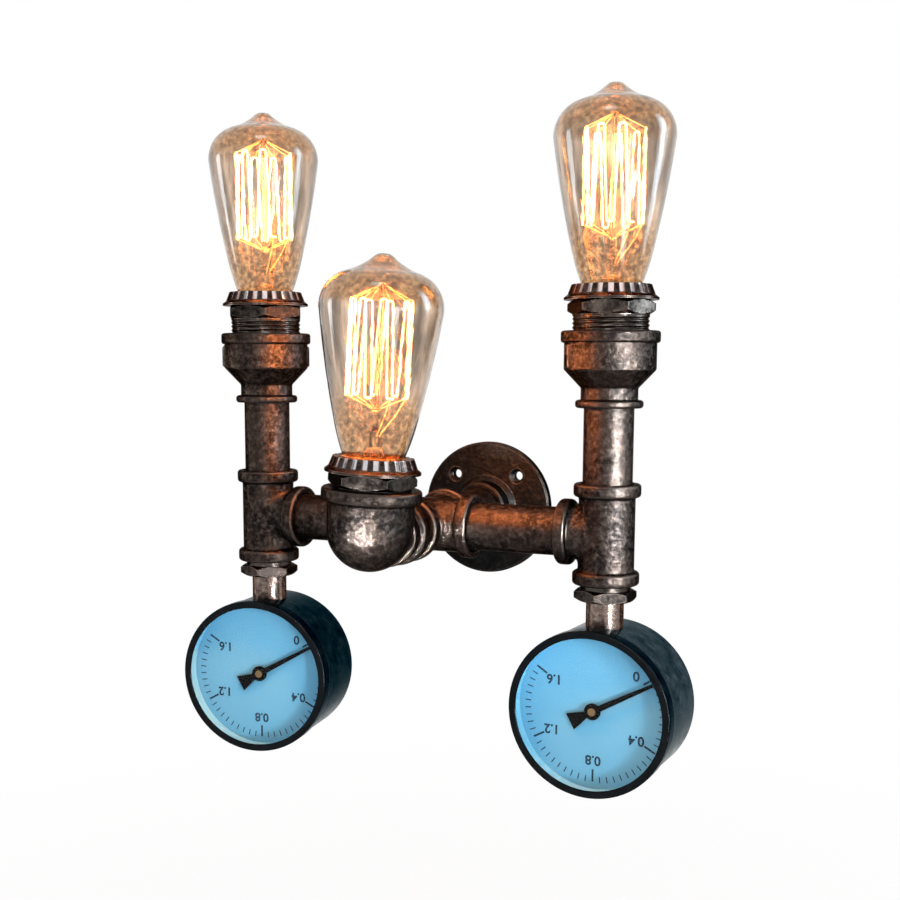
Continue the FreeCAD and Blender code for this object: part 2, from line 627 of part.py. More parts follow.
def make_gauge_bezel():
    """Front ring pressed over the case, with a rounded rim that holds the window."""
    skin_r = CASE_R + THREAD_GAP
    round_in = BEZEL_EDGE * (1 - math.sqrt(0.5))
    return facing([(BEZEL_OPENING_R, 0), (GAUGE_R - BEZEL_EDGE, 0), (GAUGE_R - round_in, round_in),
                   (GAUGE_R, BEZEL_EDGE), (GAUGE_R, BEZEL_DEPTH), (skin_r, BEZEL_DEPTH), (skin_r, BEZEL_LIP),
                   (BEZEL_OPENING_R, BEZEL_LIP)])


def make_gauge_window():
    start = BEZEL_LIP + WINDOW_GAP
    return facing([(0, start), (CASE_R, start), (CASE_R, start + WINDOW_THICK), (0, start + WINDOW_THICK)])


def make_gauge_dial():
    """Dial plate with a hole for the pointer's arbor."""
    rim = CASE_R - CASE_WALL - THREAD_GAP
    return facing([(DIAL_HOLE_R, DIAL_DEPTH), (rim, DIAL_DEPTH), (rim, DIAL_DEPTH + DIAL_THICK),
                   (DIAL_HOLE_R, DIAL_DEPTH + DIAL_THICK)])


def make_gauge_movement():
    """Movement behind the dial: two plates on pillars, screwed to the socket block."""
    front = GAUGE_FRONT - DIAL_DEPTH - DIAL_THICK
    back = BLOCK_D / 2
    plate = Part.makeBox(MOVEMENT_W, MOVEMENT_PLATE, MOVEMENT_H,
                         V(-MOVEMENT_W / 2, 0, GAUGE_Z - MOVEMENT_H / 2))
    base = moved(plate, V(0, -back - MOVEMENT_PLATE, 0))
    face = moved(plate, V(0, -front, 0))
    pillar = Part.makeCylinder(PILLAR_R, front - back, V(0, -back, GAUGE_Z), OUT)
    x = MOVEMENT_W / 2 - PILLAR_INSET
    z = MOVEMENT_H / 2 - PILLAR_INSET
    pillars = [moved(pillar, V(x * right, 0, z * up)) for right in (-1, 1) for up in (-1, 1)]
    bore = Part.makeCylinder(ARBOR_R + ARBOR_CLEARANCE, front, V(0, -back, GAUGE_Z), OUT)
    return fused([base, face] + pillars).cut(bore)


def make_gauge_pointer():
    """Pointer with a flared tail, its hub, brass cap and the arbor that runs into the movement."""
    depth = DIAL_DEPTH - POINTER_LIFT
    behind = depth + POINTER_THICK
    arbor_end = GAUGE_FRONT - BLOCK_D / 2 - ARBOR_END_GAP
    length = BEZEL_OPENING_R - POINTER_TIP_GAP
    outline = [(length, POINTER_TIP / 2), (0, POINTER_WIDTH / 2), (-TAIL_START, POINTER_WIDTH / 2),
               (-POINTER_TAIL, TAIL_WIDTH / 2)]
    points = [V(x, 0, z) for x, z in outline] + [V(x, 0, -z) for x, z in outline[::-1]]
    blade = Part.Face(Part.makePolygon(points + points[:1])).extrude(V(0, POINTER_THICK, 0))
    blade = moved(turned(blade, OUT, POINTER_READING), V(0, depth - GAUGE_FRONT, GAUGE_Z))
    disc = depth - HUB_DISC_LIFT
    cap = depth - HUB_CAP_LIFT
    hub = facing([(0, cap), (HUB_CAP_R - HUB_CAP_EDGE, cap), (HUB_CAP_R, disc), (HUB_DISC_R, disc),
                  (HUB_DISC_R, behind), (HUB_COLLAR_R, behind), (HUB_COLLAR_R, behind + HUB_COLLAR),
                  (ARBOR_R, behind + HUB_COLLAR), (ARBOR_R, arbor_end), (0, arbor_end)])
    return fused([blade, hub])


def build():
    """Return every piece of the lamp by name."""
    parts = {
        "wall_flange": make_flange(),
        "wall_nipple": pipe(V(0, -WALL_SETBACK, 0), V(0, -STANDOFF + CROSS_REACH - SOCKET_DEPTH, 0)),
        "cross": moved(cast_fitting(RIGHT, CROSS_REACH, [(OUT, CROSS_REACH), (OUT.negative(), CROSS_REACH)]),
                       V(0, -STANDOFF, 0)),
        "front_nipple": pipe(V(0, -STANDOFF - CROSS_REACH + SOCKET_DEPTH, 0),
                             V(0, -STANDOFF - ELBOW_REACH + ELBOW_SIDE_REACH - SOCKET_DEPTH, 0)),
        "front_elbow": make_elbow(),
    }
    for side, sign in SIDES.items():
        place = column_place(side)
        inward = V(-sign, 0, 0)
        parts["arm_nipple_" + side] = pipe(V(sign * (CROSS_REACH - SOCKET_DEPTH), -STANDOFF, 0),
                                           V(sign * (COLUMN_X - TEE_BRANCH + SOCKET_DEPTH), -STANDOFF, 0))
        parts["tee_" + side] = moved(cast_fitting(UP, TEE_RUN, [(inward, TEE_BRANCH)]), place)
        parts["riser_pipe_" + side] = pipe(place.add(V(0, 0, TEE_RUN - SOCKET_DEPTH)),
                                           place.add(V(0, 0, REDUCER_BASE + SOCKET_DEPTH)))
        parts["reducer_" + side] = make_reducer(side)
        gauge = {"bushing": make_gauge_bushing, "socket": make_gauge_socket, "case": make_gauge_case,
                 "bezel": make_gauge_bezel, "window": make_gauge_window, "dial": make_gauge_dial,
                 "movement": make_gauge_movement, "pointer": make_gauge_pointer}
        for piece, make in gauge.items():
            parts["gauge_" + piece + "_" + side] = gauge_place(make(), side)
    lampholder = {"lampholder": make_holder, "screw_shell": make_screw_shell,
                  "centre_contact": make_centre_contact, "shade_ring": make_shade_ring}
    bulb = {"bulb_glass": make_bulb_glass, "bulb_cap": make_bulb_cap, "bulb_contact": make_bulb_contact,
            "bulb_stem": make_bulb_stem, "filament": make_filament}
    for name in ("left", "front", "right"):
        parts["hex_bushing_" + name] = lamp_place(make_bushing(name), name)
    for group, lift in ((lampholder, 0), (bulb, BULB_FOOT_Z)):
        for piece, make in group.items():
            shape = make()
            for name in ("left", "front", "right"):
                parts[piece + "_" + name] = lamp_place(shape, name, lift)
    return parts


os.makedirs("parts", exist_ok=True)
for node, shape in build().items():
    shape.exportStep("parts/" + node + ".step")
    print(node, len(shape.Solids), shape.isValid(), round(shape.Volume, 1))
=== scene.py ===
"""Pipe wall lamp with three bulbs and two gauges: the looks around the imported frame.

Metres, in the frame's own axes: the wall is the plane y = 0, +Z is up and the lamp stands out
towards -Y. Sizes written in millimetres are multiplied by MM.
"""
import math

import bmesh
import bpy
import numpy as np
from mathutils import Matrix, Vector


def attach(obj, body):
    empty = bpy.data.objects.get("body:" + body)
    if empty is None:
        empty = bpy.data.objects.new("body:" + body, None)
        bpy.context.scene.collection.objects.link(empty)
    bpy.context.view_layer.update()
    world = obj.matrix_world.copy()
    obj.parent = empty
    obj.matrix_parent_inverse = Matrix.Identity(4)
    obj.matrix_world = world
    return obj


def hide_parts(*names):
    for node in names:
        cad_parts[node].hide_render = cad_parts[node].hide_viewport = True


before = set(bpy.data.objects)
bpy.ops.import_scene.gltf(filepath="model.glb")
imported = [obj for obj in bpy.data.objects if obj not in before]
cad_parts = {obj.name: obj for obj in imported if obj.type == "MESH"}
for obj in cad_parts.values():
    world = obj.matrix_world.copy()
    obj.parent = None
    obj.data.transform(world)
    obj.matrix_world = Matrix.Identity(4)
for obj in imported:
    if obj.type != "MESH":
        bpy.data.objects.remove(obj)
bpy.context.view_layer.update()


# Camera
# One camera at the photograph's place, found from the circles and edges of the fittings.
CAMERA_TARGET = Vector((-0.0143, -0.060, -0.01323))
CAMERA_DISTANCE = 0.77796
CAMERA_AZIMUTH = math.radians(23.684)
CAMERA_ELEVATION = math.radians(7.686)
CAMERA_ROLL = math.radians(0.163)
CAMERA_LENS, SENSOR_WIDTH = 51.086, 36
CAMERA_SHIFT = (0.01976, 0.09638)
NEAREST, FARTHEST = 0.01, 100


def added(name, data):
    made = bpy.data.objects.new(name, data)
    bpy.context.scene.collection.objects.link(made)
    return made


def way_back(azimuth, elevation):
    """From a target to an eye or a lamp: azimuth turns the way from -Y towards +X, and elevation
    lifts it."""
    return Vector((math.sin(azimuth) * math.cos(elevation), -math.cos(azimuth) * math.cos(elevation),
                   math.sin(elevation)))


def make_camera():
    """Camera axes from azimuth, elevation and roll: it looks back along its own Z at the target."""
    back = way_back(CAMERA_AZIMUTH, CAMERA_ELEVATION)
    level = Vector((math.cos(CAMERA_AZIMUTH), math.sin(CAMERA_AZIMUTH), 0))
    upright = back.cross(level)
    right = level * math.cos(CAMERA_ROLL) + upright * math.sin(CAMERA_ROLL)
    up = upright * math.cos(CAMERA_ROLL) - level * math.sin(CAMERA_ROLL)
    data = bpy.data.cameras.new("camera")
    data.sensor_width = SENSOR_WIDTH
    data.lens = CAMERA_LENS
    data.shift_x, data.shift_y = CAMERA_SHIFT
    data.clip_start, data.clip_end = NEAREST, FARTHEST
    camera = added("camera", data)
    place = Matrix((right, up, back)).transposed().to_4x4()
    place.translation = CAMERA_TARGET + back * CAMERA_DISTANCE
    camera.matrix_world = place
    bpy.context.scene.camera = camera


make_camera()
bpy.context.scene.view_settings.view_transform = "Standard"


# Studio
# A pale floor under a white surround, a low soft box at the front right, gridded ones on the two
# columns, the gauges and the elbow, and weaker ones in front, behind, at the left and above.
FLOOR_DROP, FLOOR_REACH, FLOOR_SIDES = 0.42, 3.0, 64
FLOOR_COLOUR = (0.86, 0.86, 0.86)
SHADOW_KEPT, SHADOW_REACH = 0.93, (0.45, 1.0)
SURROUND_FILL = 0.27
SOFT_SHARE, SOFT_START, SOFT_END = 0.36, 0.15, 0.5
# Each has its aim, the way back from there in degrees, distance, size, power, spread and tint
SOFT_BOXES = {
    "low_box": ((0, -0.1, 0.0), (50, -5), 1.0, (0.3, 0.6), 2.5, 180, (1.0, 0.99, 0.98)),
    "column_box": ((0.113, -0.1, 0.036), (58, 0), 0.5, (0.2, 0.16), 0.52, 26, (0.87, 0.95, 1.0)),
    "far_column_box": ((-0.11, -0.1, 0.07), (24, 0), 0.5, (0.16, 0.16), 0.008, 16, (1.0, 0.84, 0.68)),
    "gauge_box": ((0, -0.12, -0.16), (52, -4), 1.0, (0.09, 0.09), 0.2, 24, (1.0, 1.0, 1.0)),
    "elbow_box": ((0, -0.19, -0.008), (8, -10), 0.4, (0.09, 0.04), 0.1, 8, (1.0, 0.99, 0.98)),
    "front_strip": ((0, -0.1, 0.03), (-2, 2), 1.0, (0.07, 0.8), 0.8, 180, (1.0, 1.0, 1.0)),
    "back_box": ((0, -0.1, 0.1), (112, 14), 1.0, (0.45, 1.1), 8, 180, (0.66, 0.86, 1.0)),
    "left_strip": ((0, -0.1, 0.12), (-77, 2), 1.2, (0.34, 0.7), 2.4, 180, (0.95, 0.98, 1.0)),
    "top_box": ((0, -0.1, 0.03), (10, 68), 1.3, (0.5, 0.5), 2.0, 180, (1.0, 1.0, 1.0)),
}


def bare_tree(owner):
    """The node tree of a world, a lamp or a material, switched on and emptied."""
    owner.use_nodes = True
    owner.node_tree.nodes.clear()
    return owner.node_tree


def fresh_material(name):
    material = bpy.data.materials.new(name)
    return material, bare_tree(material)


def put(tree, kind, values=None, **settings):
    """Adds a shader node. Values set its inputs: a plain value, or a socket to link from."""
    made = tree.nodes.new(kind)
    for key, value in settings.items():
        setattr(made, key, value)
    for key, value in (values or {}).items():
        if isinstance(value, bpy.types.NodeSocket):
            tree.links.new(value, made.inputs[key])
        else:
            made.inputs[key].default_value = value
    return made


def calc(tree, operation, *values, clamp=False):
    """The result of a sum on plain numbers and sockets."""
    values = dict(enumerate(values))
    return put(tree, "ShaderNodeMath", values, operation=operation, use_clamp=clamp).outputs[0]


def vector_calc(tree, operation, *values):
    """The same on vectors. A length, a distance and a dot product come out as one number."""
    made = put(tree, "ShaderNodeVectorMath", dict(enumerate(values)), operation=operation)
    single = operation in ("LENGTH", "DISTANCE", "DOT_PRODUCT")
    return made.outputs["Value" if single else "Vector"]


def ramp(tree, value, low, high, start=0.0, end=1.0, soft=False):
    """A value's way from low to high, laid on the way from start to end and held past both."""
    return put(tree, "ShaderNodeMapRange", {"Value": value, 1: low, 2: high, 3: start, 4: end},
               interpolation_type="SMOOTHSTEP" if soft else "LINEAR").outputs[0]


def object_point(tree):
    return put(tree, "ShaderNodeTexCoord").outputs["Object"]


def colour(*rgb):
    return (*rgb, 1.0)


def plainly_seen(tree):
    """One for rays that come straight from the camera, by a mirror or through glass."""
    path = put(tree, "ShaderNodeLightPath").outputs
    seen = calc(tree, "MAXIMUM", path["Is Camera Ray"], path["Is Transmission Ray"])
    return calc(tree, "MAXIMUM", seen, path["Is Glossy Ray"])


def make_surround():
    """The world is white to the camera, in reflections and through glass, and dimmer as fill."""
    world = bpy.data.worlds.new("surround")
    tree = bare_tree(world)
    level = put(tree, "ShaderNodeMix", {0: plainly_seen(tree), 2: SURROUND_FILL, 3: 1.0})
    back = put(tree, "ShaderNodeBackground", {"Color": colour(1, 1, 1), "Strength": level.outputs[0]})
    put(tree, "ShaderNodeOutputWorld", {"Surface": back.outputs[0]})
    bpy.context.scene.world = world


def make_soft_box(name, aim, direction, distance, size, power, spread, tint):
    """A lamp that fades smoothly from its middle to its edge, and gives its whole power still."""
    data = bpy.data.lights.new(name, "AREA")
    data.shape = "RECTANGLE"
    data.size, data.size_y = size
    data.energy = power
    data.spread = math.radians(spread)
    data.color = tint
    tree = bare_tree(data)
    across = put(tree, "ShaderNodeNewGeometry").outputs["Parametric"]
    off = vector_calc(tree, "DISTANCE", across, (0.5, 0.5, 0))
    fade = ramp(tree, off, SOFT_START, SOFT_END, 1 / SOFT_SHARE, 0.0, soft=True)
    glow = put(tree, "ShaderNodeEmission", {"Strength": fade})
    put(tree, "ShaderNodeOutputLight", {"Surface": glow.outputs[0]})
    back = way_back(*(math.radians(angle) for angle in direction))
    soft_box = added(name, data)
    soft_box.location = Vector(aim) + back * distance
    soft_box.rotation_euler = back.to_track_quat("Z", "Y").to_euler()
    soft_box.visible_camera = False
    soft_box.visible_transmission = False


def make_floor():
    """A wide round floor that renders white to the camera but for the shadow that it catches."""
    mesh = bpy.data.meshes.new("floor")
    turn = np.linspace(0, 2 * math.pi, FLOOR_SIDES, endpoint=False)
    rim = np.stack([FLOOR_REACH * np.cos(turn), FLOOR_REACH * np.sin(turn),
                    np.full(FLOOR_SIDES, -FLOOR_DROP)], 1)
    mesh.from_pydata(rim.tolist(), [], [list(range(FLOOR_SIDES))])
    floor = added("floor", mesh)
    material, tree = fresh_material("pale_floor")
    matt = put(tree, "ShaderNodeBsdfDiffuse", {"Color": colour(*FLOOR_COLOUR)})
    white = put(tree, "ShaderNodeEmission", {"Color": colour(1, 1, 1), "Strength": 1.0})
    away = vector_calc(tree, "LENGTH", object_point(tree))
    fade = ramp(tree, away, *SHADOW_REACH, SHADOW_KEPT, 1.0)
    share = calc(tree, "MULTIPLY", plainly_seen(tree), fade)
    mix = put(tree, "ShaderNodeMixShader", {0: share, 1: matt.outputs[0], 2: white.outputs[0]})
    put(tree, "ShaderNodeOutputMaterial", {"Surface": mix.outputs[0]})
    mesh.materials.append(material)


make_surround()
for box_name, box in SOFT_BOXES.items():
    make_soft_box(box_name, *box)
make_floor()


# Pipes
# Straight lengths of three-quarter steel pipe, drawn smooth and rubbed back to a copper brown:
# a dark oxide lies in patches and hollows, and edges are worn bright. They take long streaks of
# light from the soft boxes.
MM = 0.001
COLUMN_X, STANDOFF, ELBOW_REACH = 106.0, 99.0, 75.5
PIPE_R, PIPE_BORE_R, PIPE_CORNER = 13.45, 10.85, 0.5
CROSS_REACH, TEE_BRANCH, TEE_RUN, SOCKET_DEPTH = 30.0, 26.0, 27.5, 12.0
REDUCER_BASE, ELBOW_SIDE_REACH, WALL_SETBACK = 68.0, 38.0, 6.0
SIDES = {"left": -1, "right": 1}
ROUND_STEPS, WELD, SLIVER = 128, 1e-7, 1e-8
# The second colour here darkens hollows: dark grime, and painted shade where shade would fall.
SHADED_RIM, GRIME_AND_HOLLOW_SHADE = (0.2, 0.17, 0.15), (0.003, 0.0027, 0.0025)


def noise(tree, where, scale, detail, **more):
    values = {"Vector": where, "Scale": scale, "Detail": detail, **more}
    return put(tree, "ShaderNodeTexNoise", values).outputs[0]


def mixed(tree, share, first, second, blend="MIX"):
    """A colour from the first to the second by a share; each is three numbers or a socket."""
    first, second = (colour(*end) if isinstance(end, tuple) else end for end in (first, second))
    return put(tree, "ShaderNodeMix", {0: share, 6: first, 7: second}, data_type="RGBA",
               blend_type=blend).outputs[2]


def bumped(tree, height, strength, deep):
    """A normal that leans with a height pattern, as if it were so many millimetres deep."""
    return put(tree, "ShaderNodeBump",
               {"Strength": strength, "Distance": deep * MM, "Height": height}).outputs[0]


def shaded(tree, values):
    """The material's own shader, joined to its output."""
    shader = put(tree, "ShaderNodeBsdfPrincipled", values)
    put(tree, "ShaderNodeOutputMaterial", {"Surface": shader.outputs[0]})


def make_patina_group():
    """Tone is dark oxide where large noise is high and mid brown elsewhere, silvered by the Mottle
    share of a middle noise, and bright where the Edge input or the fine scuffs say. Roughness runs
    from Smooth to Dull with the oxide; height adds patches, grain and the Dimple share."""
    tree = bpy.data.node_groups.new("patina", "ShaderNodeTree")
    sockets = (("INPUT", "Color", ("Oxide", "Brown", "Worn")),
               ("INPUT", "Float", ("Edge", "Patch Scale", "Grain Scale", "Scuffs", "Mottle", "Dimple",
                                   "Smooth", "Dull")),
               ("OUTPUT", "Color", ("Colour",)), ("OUTPUT", "Float", ("Roughness", "Height")))
    for way, kind, names in sockets:
        for name in names:
            tree.interface.new_socket(name, in_out=way, socket_type="NodeSocket" + kind)
    given = put(tree, "NodeGroupInput").outputs
    where = object_point(tree)
    patches = noise(tree, where, given["Patch Scale"], 5.0, Roughness=0.62, Distortion=0.4)
    grain = noise(tree, where, given["Grain Scale"], 4.0, Roughness=0.6)
    middle = noise(tree, where, 340.0, 4.0, Roughness=0.62)
    oxide = ramp(tree, patches, 0.40, 0.62, soft=True)
    blotch = ramp(tree, middle, 0.42, 0.72, soft=True)
    scuffed = calc(tree, "MULTIPLY", ramp(tree, grain, 0.5, 0.78), given["Scuffs"])
    rubbed = calc(tree, "MULTIPLY", grain, 1.1)
    edge = calc(tree, "MULTIPLY", given["Edge"], rubbed, clamp=True)
    silver = calc(tree, "MULTIPLY_ADD", blotch, given["Mottle"], scuffed)
    worn = calc(tree, "MAXIMUM", edge, silver, clamp=True)
    tone = mixed(tree, oxide, given["Brown"], given["Oxide"])
    rough = ramp(tree, oxide, 0.0, 1.0, given["Smooth"], given["Dull"])
    fine = calc(tree, "MULTIPLY", grain, 0.6)
    lumpy = calc(tree, "MULTIPLY_ADD", middle, given["Dimple"], fine)
    put(tree, "NodeGroupOutput", {"Colour": mixed(tree, worn, tone, given["Worn"]),
                                  "Roughness": calc(tree, "MULTIPLY_ADD", worn, -0.1, rough),
                                  "Height": calc(tree, "MULTIPLY_ADD", patches, 0.8, lumpy)})
    return tree


patina = make_patina_group()


def patina_metal(name, oxide, brown, worn, patch=55.0, grain=620.0, scuffs=0.12, mottle=0.16, bump=0.8,
                 dimple=2.0, finish=(0.3, 0.42), edge="point", reach=0.9):
    """Metal under the patina group. The worn edges come from the mesh's own pointiness where it
    is dense, with its hollows darkened as grime and as painted shade, and from how far a rounded
    normal leans from the flat one where it is not."""
    material, tree = fresh_material(name)
    geometry = put(tree, "ShaderNodeNewGeometry").outputs
    if edge == "point":
        mask = ramp(tree, geometry["Pointiness"], 0.512, 0.55)
    else:
        rounded = put(tree, "ShaderNodeBevel", {"Radius": reach * MM}, samples=6).outputs[0]
        lean = vector_calc(tree, "DOT_PRODUCT", rounded, geometry["Normal"])
        mask = ramp(tree, lean, 0.995, 0.9)
    rust = put(tree, "ShaderNodeGroup", {
        "Oxide": colour(*oxide), "Brown": colour(*brown), "Worn": colour(*worn), "Edge": mask,
        "Patch Scale": patch, "Grain Scale": grain, "Scuffs": scuffs, "Mottle": mottle,
        "Dimple": dimple, "Smooth": finish[0], "Dull": finish[1]}, node_tree=patina).outputs
    shown = rust["Colour"]
    if edge == "point":
        # Hollows are darkened: grime, and painted shade.
        grime_and_shade_share = ramp(tree, geometry["Pointiness"], 0.44, 0.49, 0.9, 0.0)
        shown = mixed(tree, grime_and_shade_share, shown, GRIME_AND_HOLLOW_SHADE)
    shaded(tree, {"Base Color": shown, "Metallic": 1.0, "Roughness": rust["Roughness"],
                  "Specular Tint": colour(*SHADED_RIM),
                  "Normal": bumped(tree, rust["Height"], bump, 0.4)})
    return material


pipe_steel = patina_metal("pipe_steel", (0.006, 0.0052, 0.0048), (0.025, 0.0185, 0.0155),
                          (0.24, 0.195, 0.172), patch=70.0, bump=0.55, dimple=1.6, finish=(0.4, 0.5),
                          edge="bevel")


def shift(x, y, z):
    return Matrix.Translation((x, y, z))


def aimed(axis):
    """Turn the surface's own Z, along which its profile runs, to another axis."""
    return Vector(axis).to_track_quat("Z", "Y").to_matrix().to_4x4()


def laid(points, place):
    """Points moved by a place, as arrays: the turn part times each point, plus the offset."""
    turn = np.array(place.to_3x3())
    return points @ turn.T + np.array(place.translation)


def turned_grid(profile, steps=ROUND_STEPS, closed=False, warp=None):
    """Points and quads of a turned surface. Point (i, j) is profile point i at angle j: its
    radius times cosine and sine of the angle, and its height. A warp may change radius, angle
    and height as whole arrays first."""
    line = np.asarray(profile, float)
    angle = np.linspace(0, 2 * math.pi, steps, endpoint=False)[None, :]
    radius = np.repeat(line[:, :1], steps, 1)
    height = np.repeat(line[:, 1:2], steps, 1)
    angle = np.repeat(angle, len(line), 0)
    if warp:
        radius, angle, height = warp(radius, angle, height)
    points = np.stack([radius * np.cos(angle), radius * np.sin(angle), height], -1).reshape(-1, 3)
    rows = len(line) if closed else len(line) - 1
    i, j = np.meshgrid(np.arange(rows), np.arange(steps), indexing="ij")
    above, beside = (i + 1) % len(line), (j + 1) % steps
    quads = np.stack([i * steps + j, i * steps + beside, above * steps + beside, above * steps + j], -1)
    return points, quads.reshape(-1, 4)


def surface(name, grids, place=Matrix.Identity(4), crease=35):
    """One object from grids in millimetres, welded, facing outwards, smooth below the crease."""
    mesh = bpy.data.meshes.new(name)
    offset, points, quads = 0, [], []
    for grid_points, grid_quads in grids:
        points.append(grid_points)
        quads.append(grid_quads + offset)
        offset += len(grid_points)
    mesh.from_pydata(np.concatenate(points), [], np.concatenate(quads))
    mesh.transform(place)
    mesh.transform(Matrix.Scale(MM, 4))
    work = bmesh.new()
    work.from_mesh(mesh)
    bmesh.ops.remove_doubles(work, verts=work.verts, dist=WELD)
    bmesh.ops.dissolve_degenerate(work, edges=work.edges, dist=SLIVER)
    bmesh.ops.recalc_face_normals(work, faces=work.faces)
    work.to_mesh(mesh)
    work.free()
    mesh.shade_smooth()
    mesh.set_sharp_from_angle(angle=math.radians(crease))
    return added(name, mesh)


def finish_piece(piece, material, slot, *nodes, body="frame"):
    """Give a piece its material, let it ride on its body, and hide the CAD nodes that it
    stands for. The slot is not used.
    """
    piece.data.materials.clear()
    piece.data.materials.append(material)
    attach(piece, body)
    if nodes:
        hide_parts(*nodes)


def pipe_grid(start, end):
    """A tube between two points: four turned lines, outer and inner walls and both ends."""
    run = Vector(end) - Vector(start)
    length = run.length
    line = [(PIPE_BORE_R, 0), (PIPE_R - PIPE_CORNER, 0), (PIPE_R, PIPE_CORNER),
            (PIPE_R, length - PIPE_CORNER), (PIPE_R - PIPE_CORNER, length), (PIPE_BORE_R, length)]
    points, quads = turned_grid(line, closed=True)
    return laid(points, shift(*start) @ aimed(run)), quads


pipes = {
    "wall_nipple": ((0, -WALL_SETBACK, 0), (0, -STANDOFF + CROSS_REACH - SOCKET_DEPTH, 0)),
    "front_nipple": ((0, -STANDOFF - CROSS_REACH + SOCKET_DEPTH, 0),
                     (0, -STANDOFF - ELBOW_REACH + ELBOW_SIDE_REACH - SOCKET_DEPTH, 0)),
}
for side, sign in SIDES.items():
    pipes["arm_nipple_" + side] = ((sign * (CROSS_REACH - SOCKET_DEPTH), -STANDOFF, 0),
                                   (sign * (COLUMN_X - TEE_BRANCH + SOCKET_DEPTH), -STANDOFF, 0))
    pipes["riser_pipe_" + side] = ((sign * COLUMN_X, -STANDOFF, TEE_RUN - SOCKET_DEPTH),
                                   (sign * COLUMN_X, -STANDOFF, REDUCER_BASE + SOCKET_DEPTH))
for node, (start, end) in pipes.items():
    piece = surface("steel_" + node, [pipe_grid(start, end)])
    finish_piece(piece, pipe_steel, "pipe_steel", node)


# Cast tees, cross and elbow
# Malleable iron castings: cylinders that run together in soft fillets, with a rolled bead round
# each mouth. The joined shell is remeshed evenly and relaxed, as sand casting leaves it.
BODY_R, BRANCH_R = 15.3, 14.4
BEAD_R, BEAD_LENGTH, BEAD_CORNER, BEAD_LAP = 18.2, 7.2, 1, 2.5
MOUTH_SLACK, MOUTH_CORNER = 0.7, 0.6
BALL_R, BALL_Z, BOWL_STEPS, CHAMBER_R = 22.8, 6.0, 14, 18.6
ELBOW_TOP, ELBOW_LEDGE, ELBOW_BEAD, TOP_BEAD_R = 27.3, 6.7, 6.9, 26.4
BIG_SOCKET_R, SOCKET_CORNER = 20.55, 0.8
INLET_START, INLET_R, INLET_END, INLET_THINNING = 19.2, 18.0, 30.8, 1.5
ELBOW_LEAN = math.radians(3.6)
VOXEL, FILLET_WIDTH, AHEAD_SHARE = 0.55, 2.6, 0.4
SKIN_PASSES, FILLET_PASSES, PASS_SHARE = 5, 60, 0.5
OXIDE, BROWN, WORN = (0.006, 0.0055, 0.0055), (0.027, 0.02, 0.017), (0.28, 0.225, 0.195)
cast_iron = patina_metal("cast_iron", OXIDE, BROWN, WORN)


def column(side):
    return shift(SIDES[side] * COLUMN_X, -STANDOFF, 0)


def leaning():
    return shift(0, -STANDOFF - ELBOW_REACH, 0) @ Matrix.Rotation(ELBOW_LEAN, 4, "Y")


def bead(reach):
    """A ring round a mouth, square in section with its two outer corners turned off."""
    start, bore = reach - BEAD_LENGTH, PIPE_R + MOUTH_SLACK
    return turned_grid([(bore, start), (BEAD_R - BEAD_CORNER, start), (BEAD_R, start + BEAD_CORNER),
                        (BEAD_R, reach - BEAD_CORNER), (BEAD_R - BEAD_CORNER, reach),
                        (bore + MOUTH_CORNER, reach), (bore, reach - MOUTH_CORNER)], closed=True)


def cylinder(radius, low, high):
    return turned_grid([(0, low), (radius, low), (radius, high), (0, high)])


def mesh_points(mesh):
    flat = np.empty(len(mesh.vertices) * 3, np.float32)
    mesh.vertices.foreach_get("co", flat)
    return flat.reshape(-1, 3)


def relax(mesh, weights, passes):
    """Move each point part of the way to the mean of its neighbours, pass after pass."""
    count = len(mesh.vertices)
    ends = np.empty(len(mesh.edges) * 2, np.int32)
    mesh.edges.foreach_get("vertices", ends)
    a, b = ends[::2], ends[1::2]
    place = mesh_points(mesh).astype(float)
    degree = np.bincount(a, minlength=count) + np.bincount(b, minlength=count)
    for _ in range(passes):
        total = np.stack([np.bincount(a, place[b, k], count) + np.bincount(b, place[a, k], count)
                          for k in range(3)], 1)
        place += weights[:, None] * (total / degree[:, None] - place)
    mesh.vertices.foreach_set("co", place.astype(np.float32).ravel())
    mesh.update()


def fillet_weights(mesh, run, branches, place):
    """High near the lines where a branch meets the run: both walls' distances are small there."""
    local = laid(mesh_points(mesh) / MM, place.inverted())
    weight = np.zeros(len(local))
    for axis, radius in branches:
        off_run = np.linalg.norm(np.cross(local, run[0]), axis=1) - run[1]
        off_branch = np.linalg.norm(np.cross(local, axis), axis=1) - radius
        ahead = (local @ np.array(axis)) > run[1] * AHEAD_SHARE
        nearness = np.exp(-(off_run ** 2 + off_branch ** 2) / (2 * FILLET_WIDTH ** 2))
        weight = np.maximum(weight, nearness * ahead)
    return weight * PASS_SHARE


def cast_piece(name, shells, place, run, branches, node):
    """Join closed shells into one even skin, then relax it: a little all over, more at fillets."""
    rough = surface(name + "_rough", [(laid(points, at), quads) for (points, quads), at in shells], place)
    even = rough.modifiers.new("even_skin", "REMESH")
    even.mode = "VOXEL"
    even.voxel_size = VOXEL * MM
    mesh = bpy.data.meshes.new_from_object(rough.evaluated_get(bpy.context.evaluated_depsgraph_get()))
    bpy.data.objects.remove(rough)
    mesh.name = name
    relax(mesh, fillet_weights(mesh, run, branches, place), FILLET_PASSES)
    relax(mesh, np.full(len(mesh.vertices), PASS_SHARE), SKIN_PASSES)
    mesh.shade_smooth()
    finish_piece(added(name, mesh), cast_iron, "cast_iron_dark", node)


def crossed(run_axis, run_reach, branches):
    """Shells of a fitting with a straight run and branches at right angles to it."""
    here = aimed(run_axis)
    shells = [(cylinder(BODY_R, -run_reach + BEAD_LAP, run_reach - BEAD_LAP), here),
              (bead(run_reach), here), (bead(run_reach), aimed([-x for x in run_axis]))]
    for axis, reach in branches:
        shells += [(cylinder(BRANCH_R, 0, reach - BEAD_LAP), aimed(axis)), (bead(reach), aimed(axis))]
    return shells


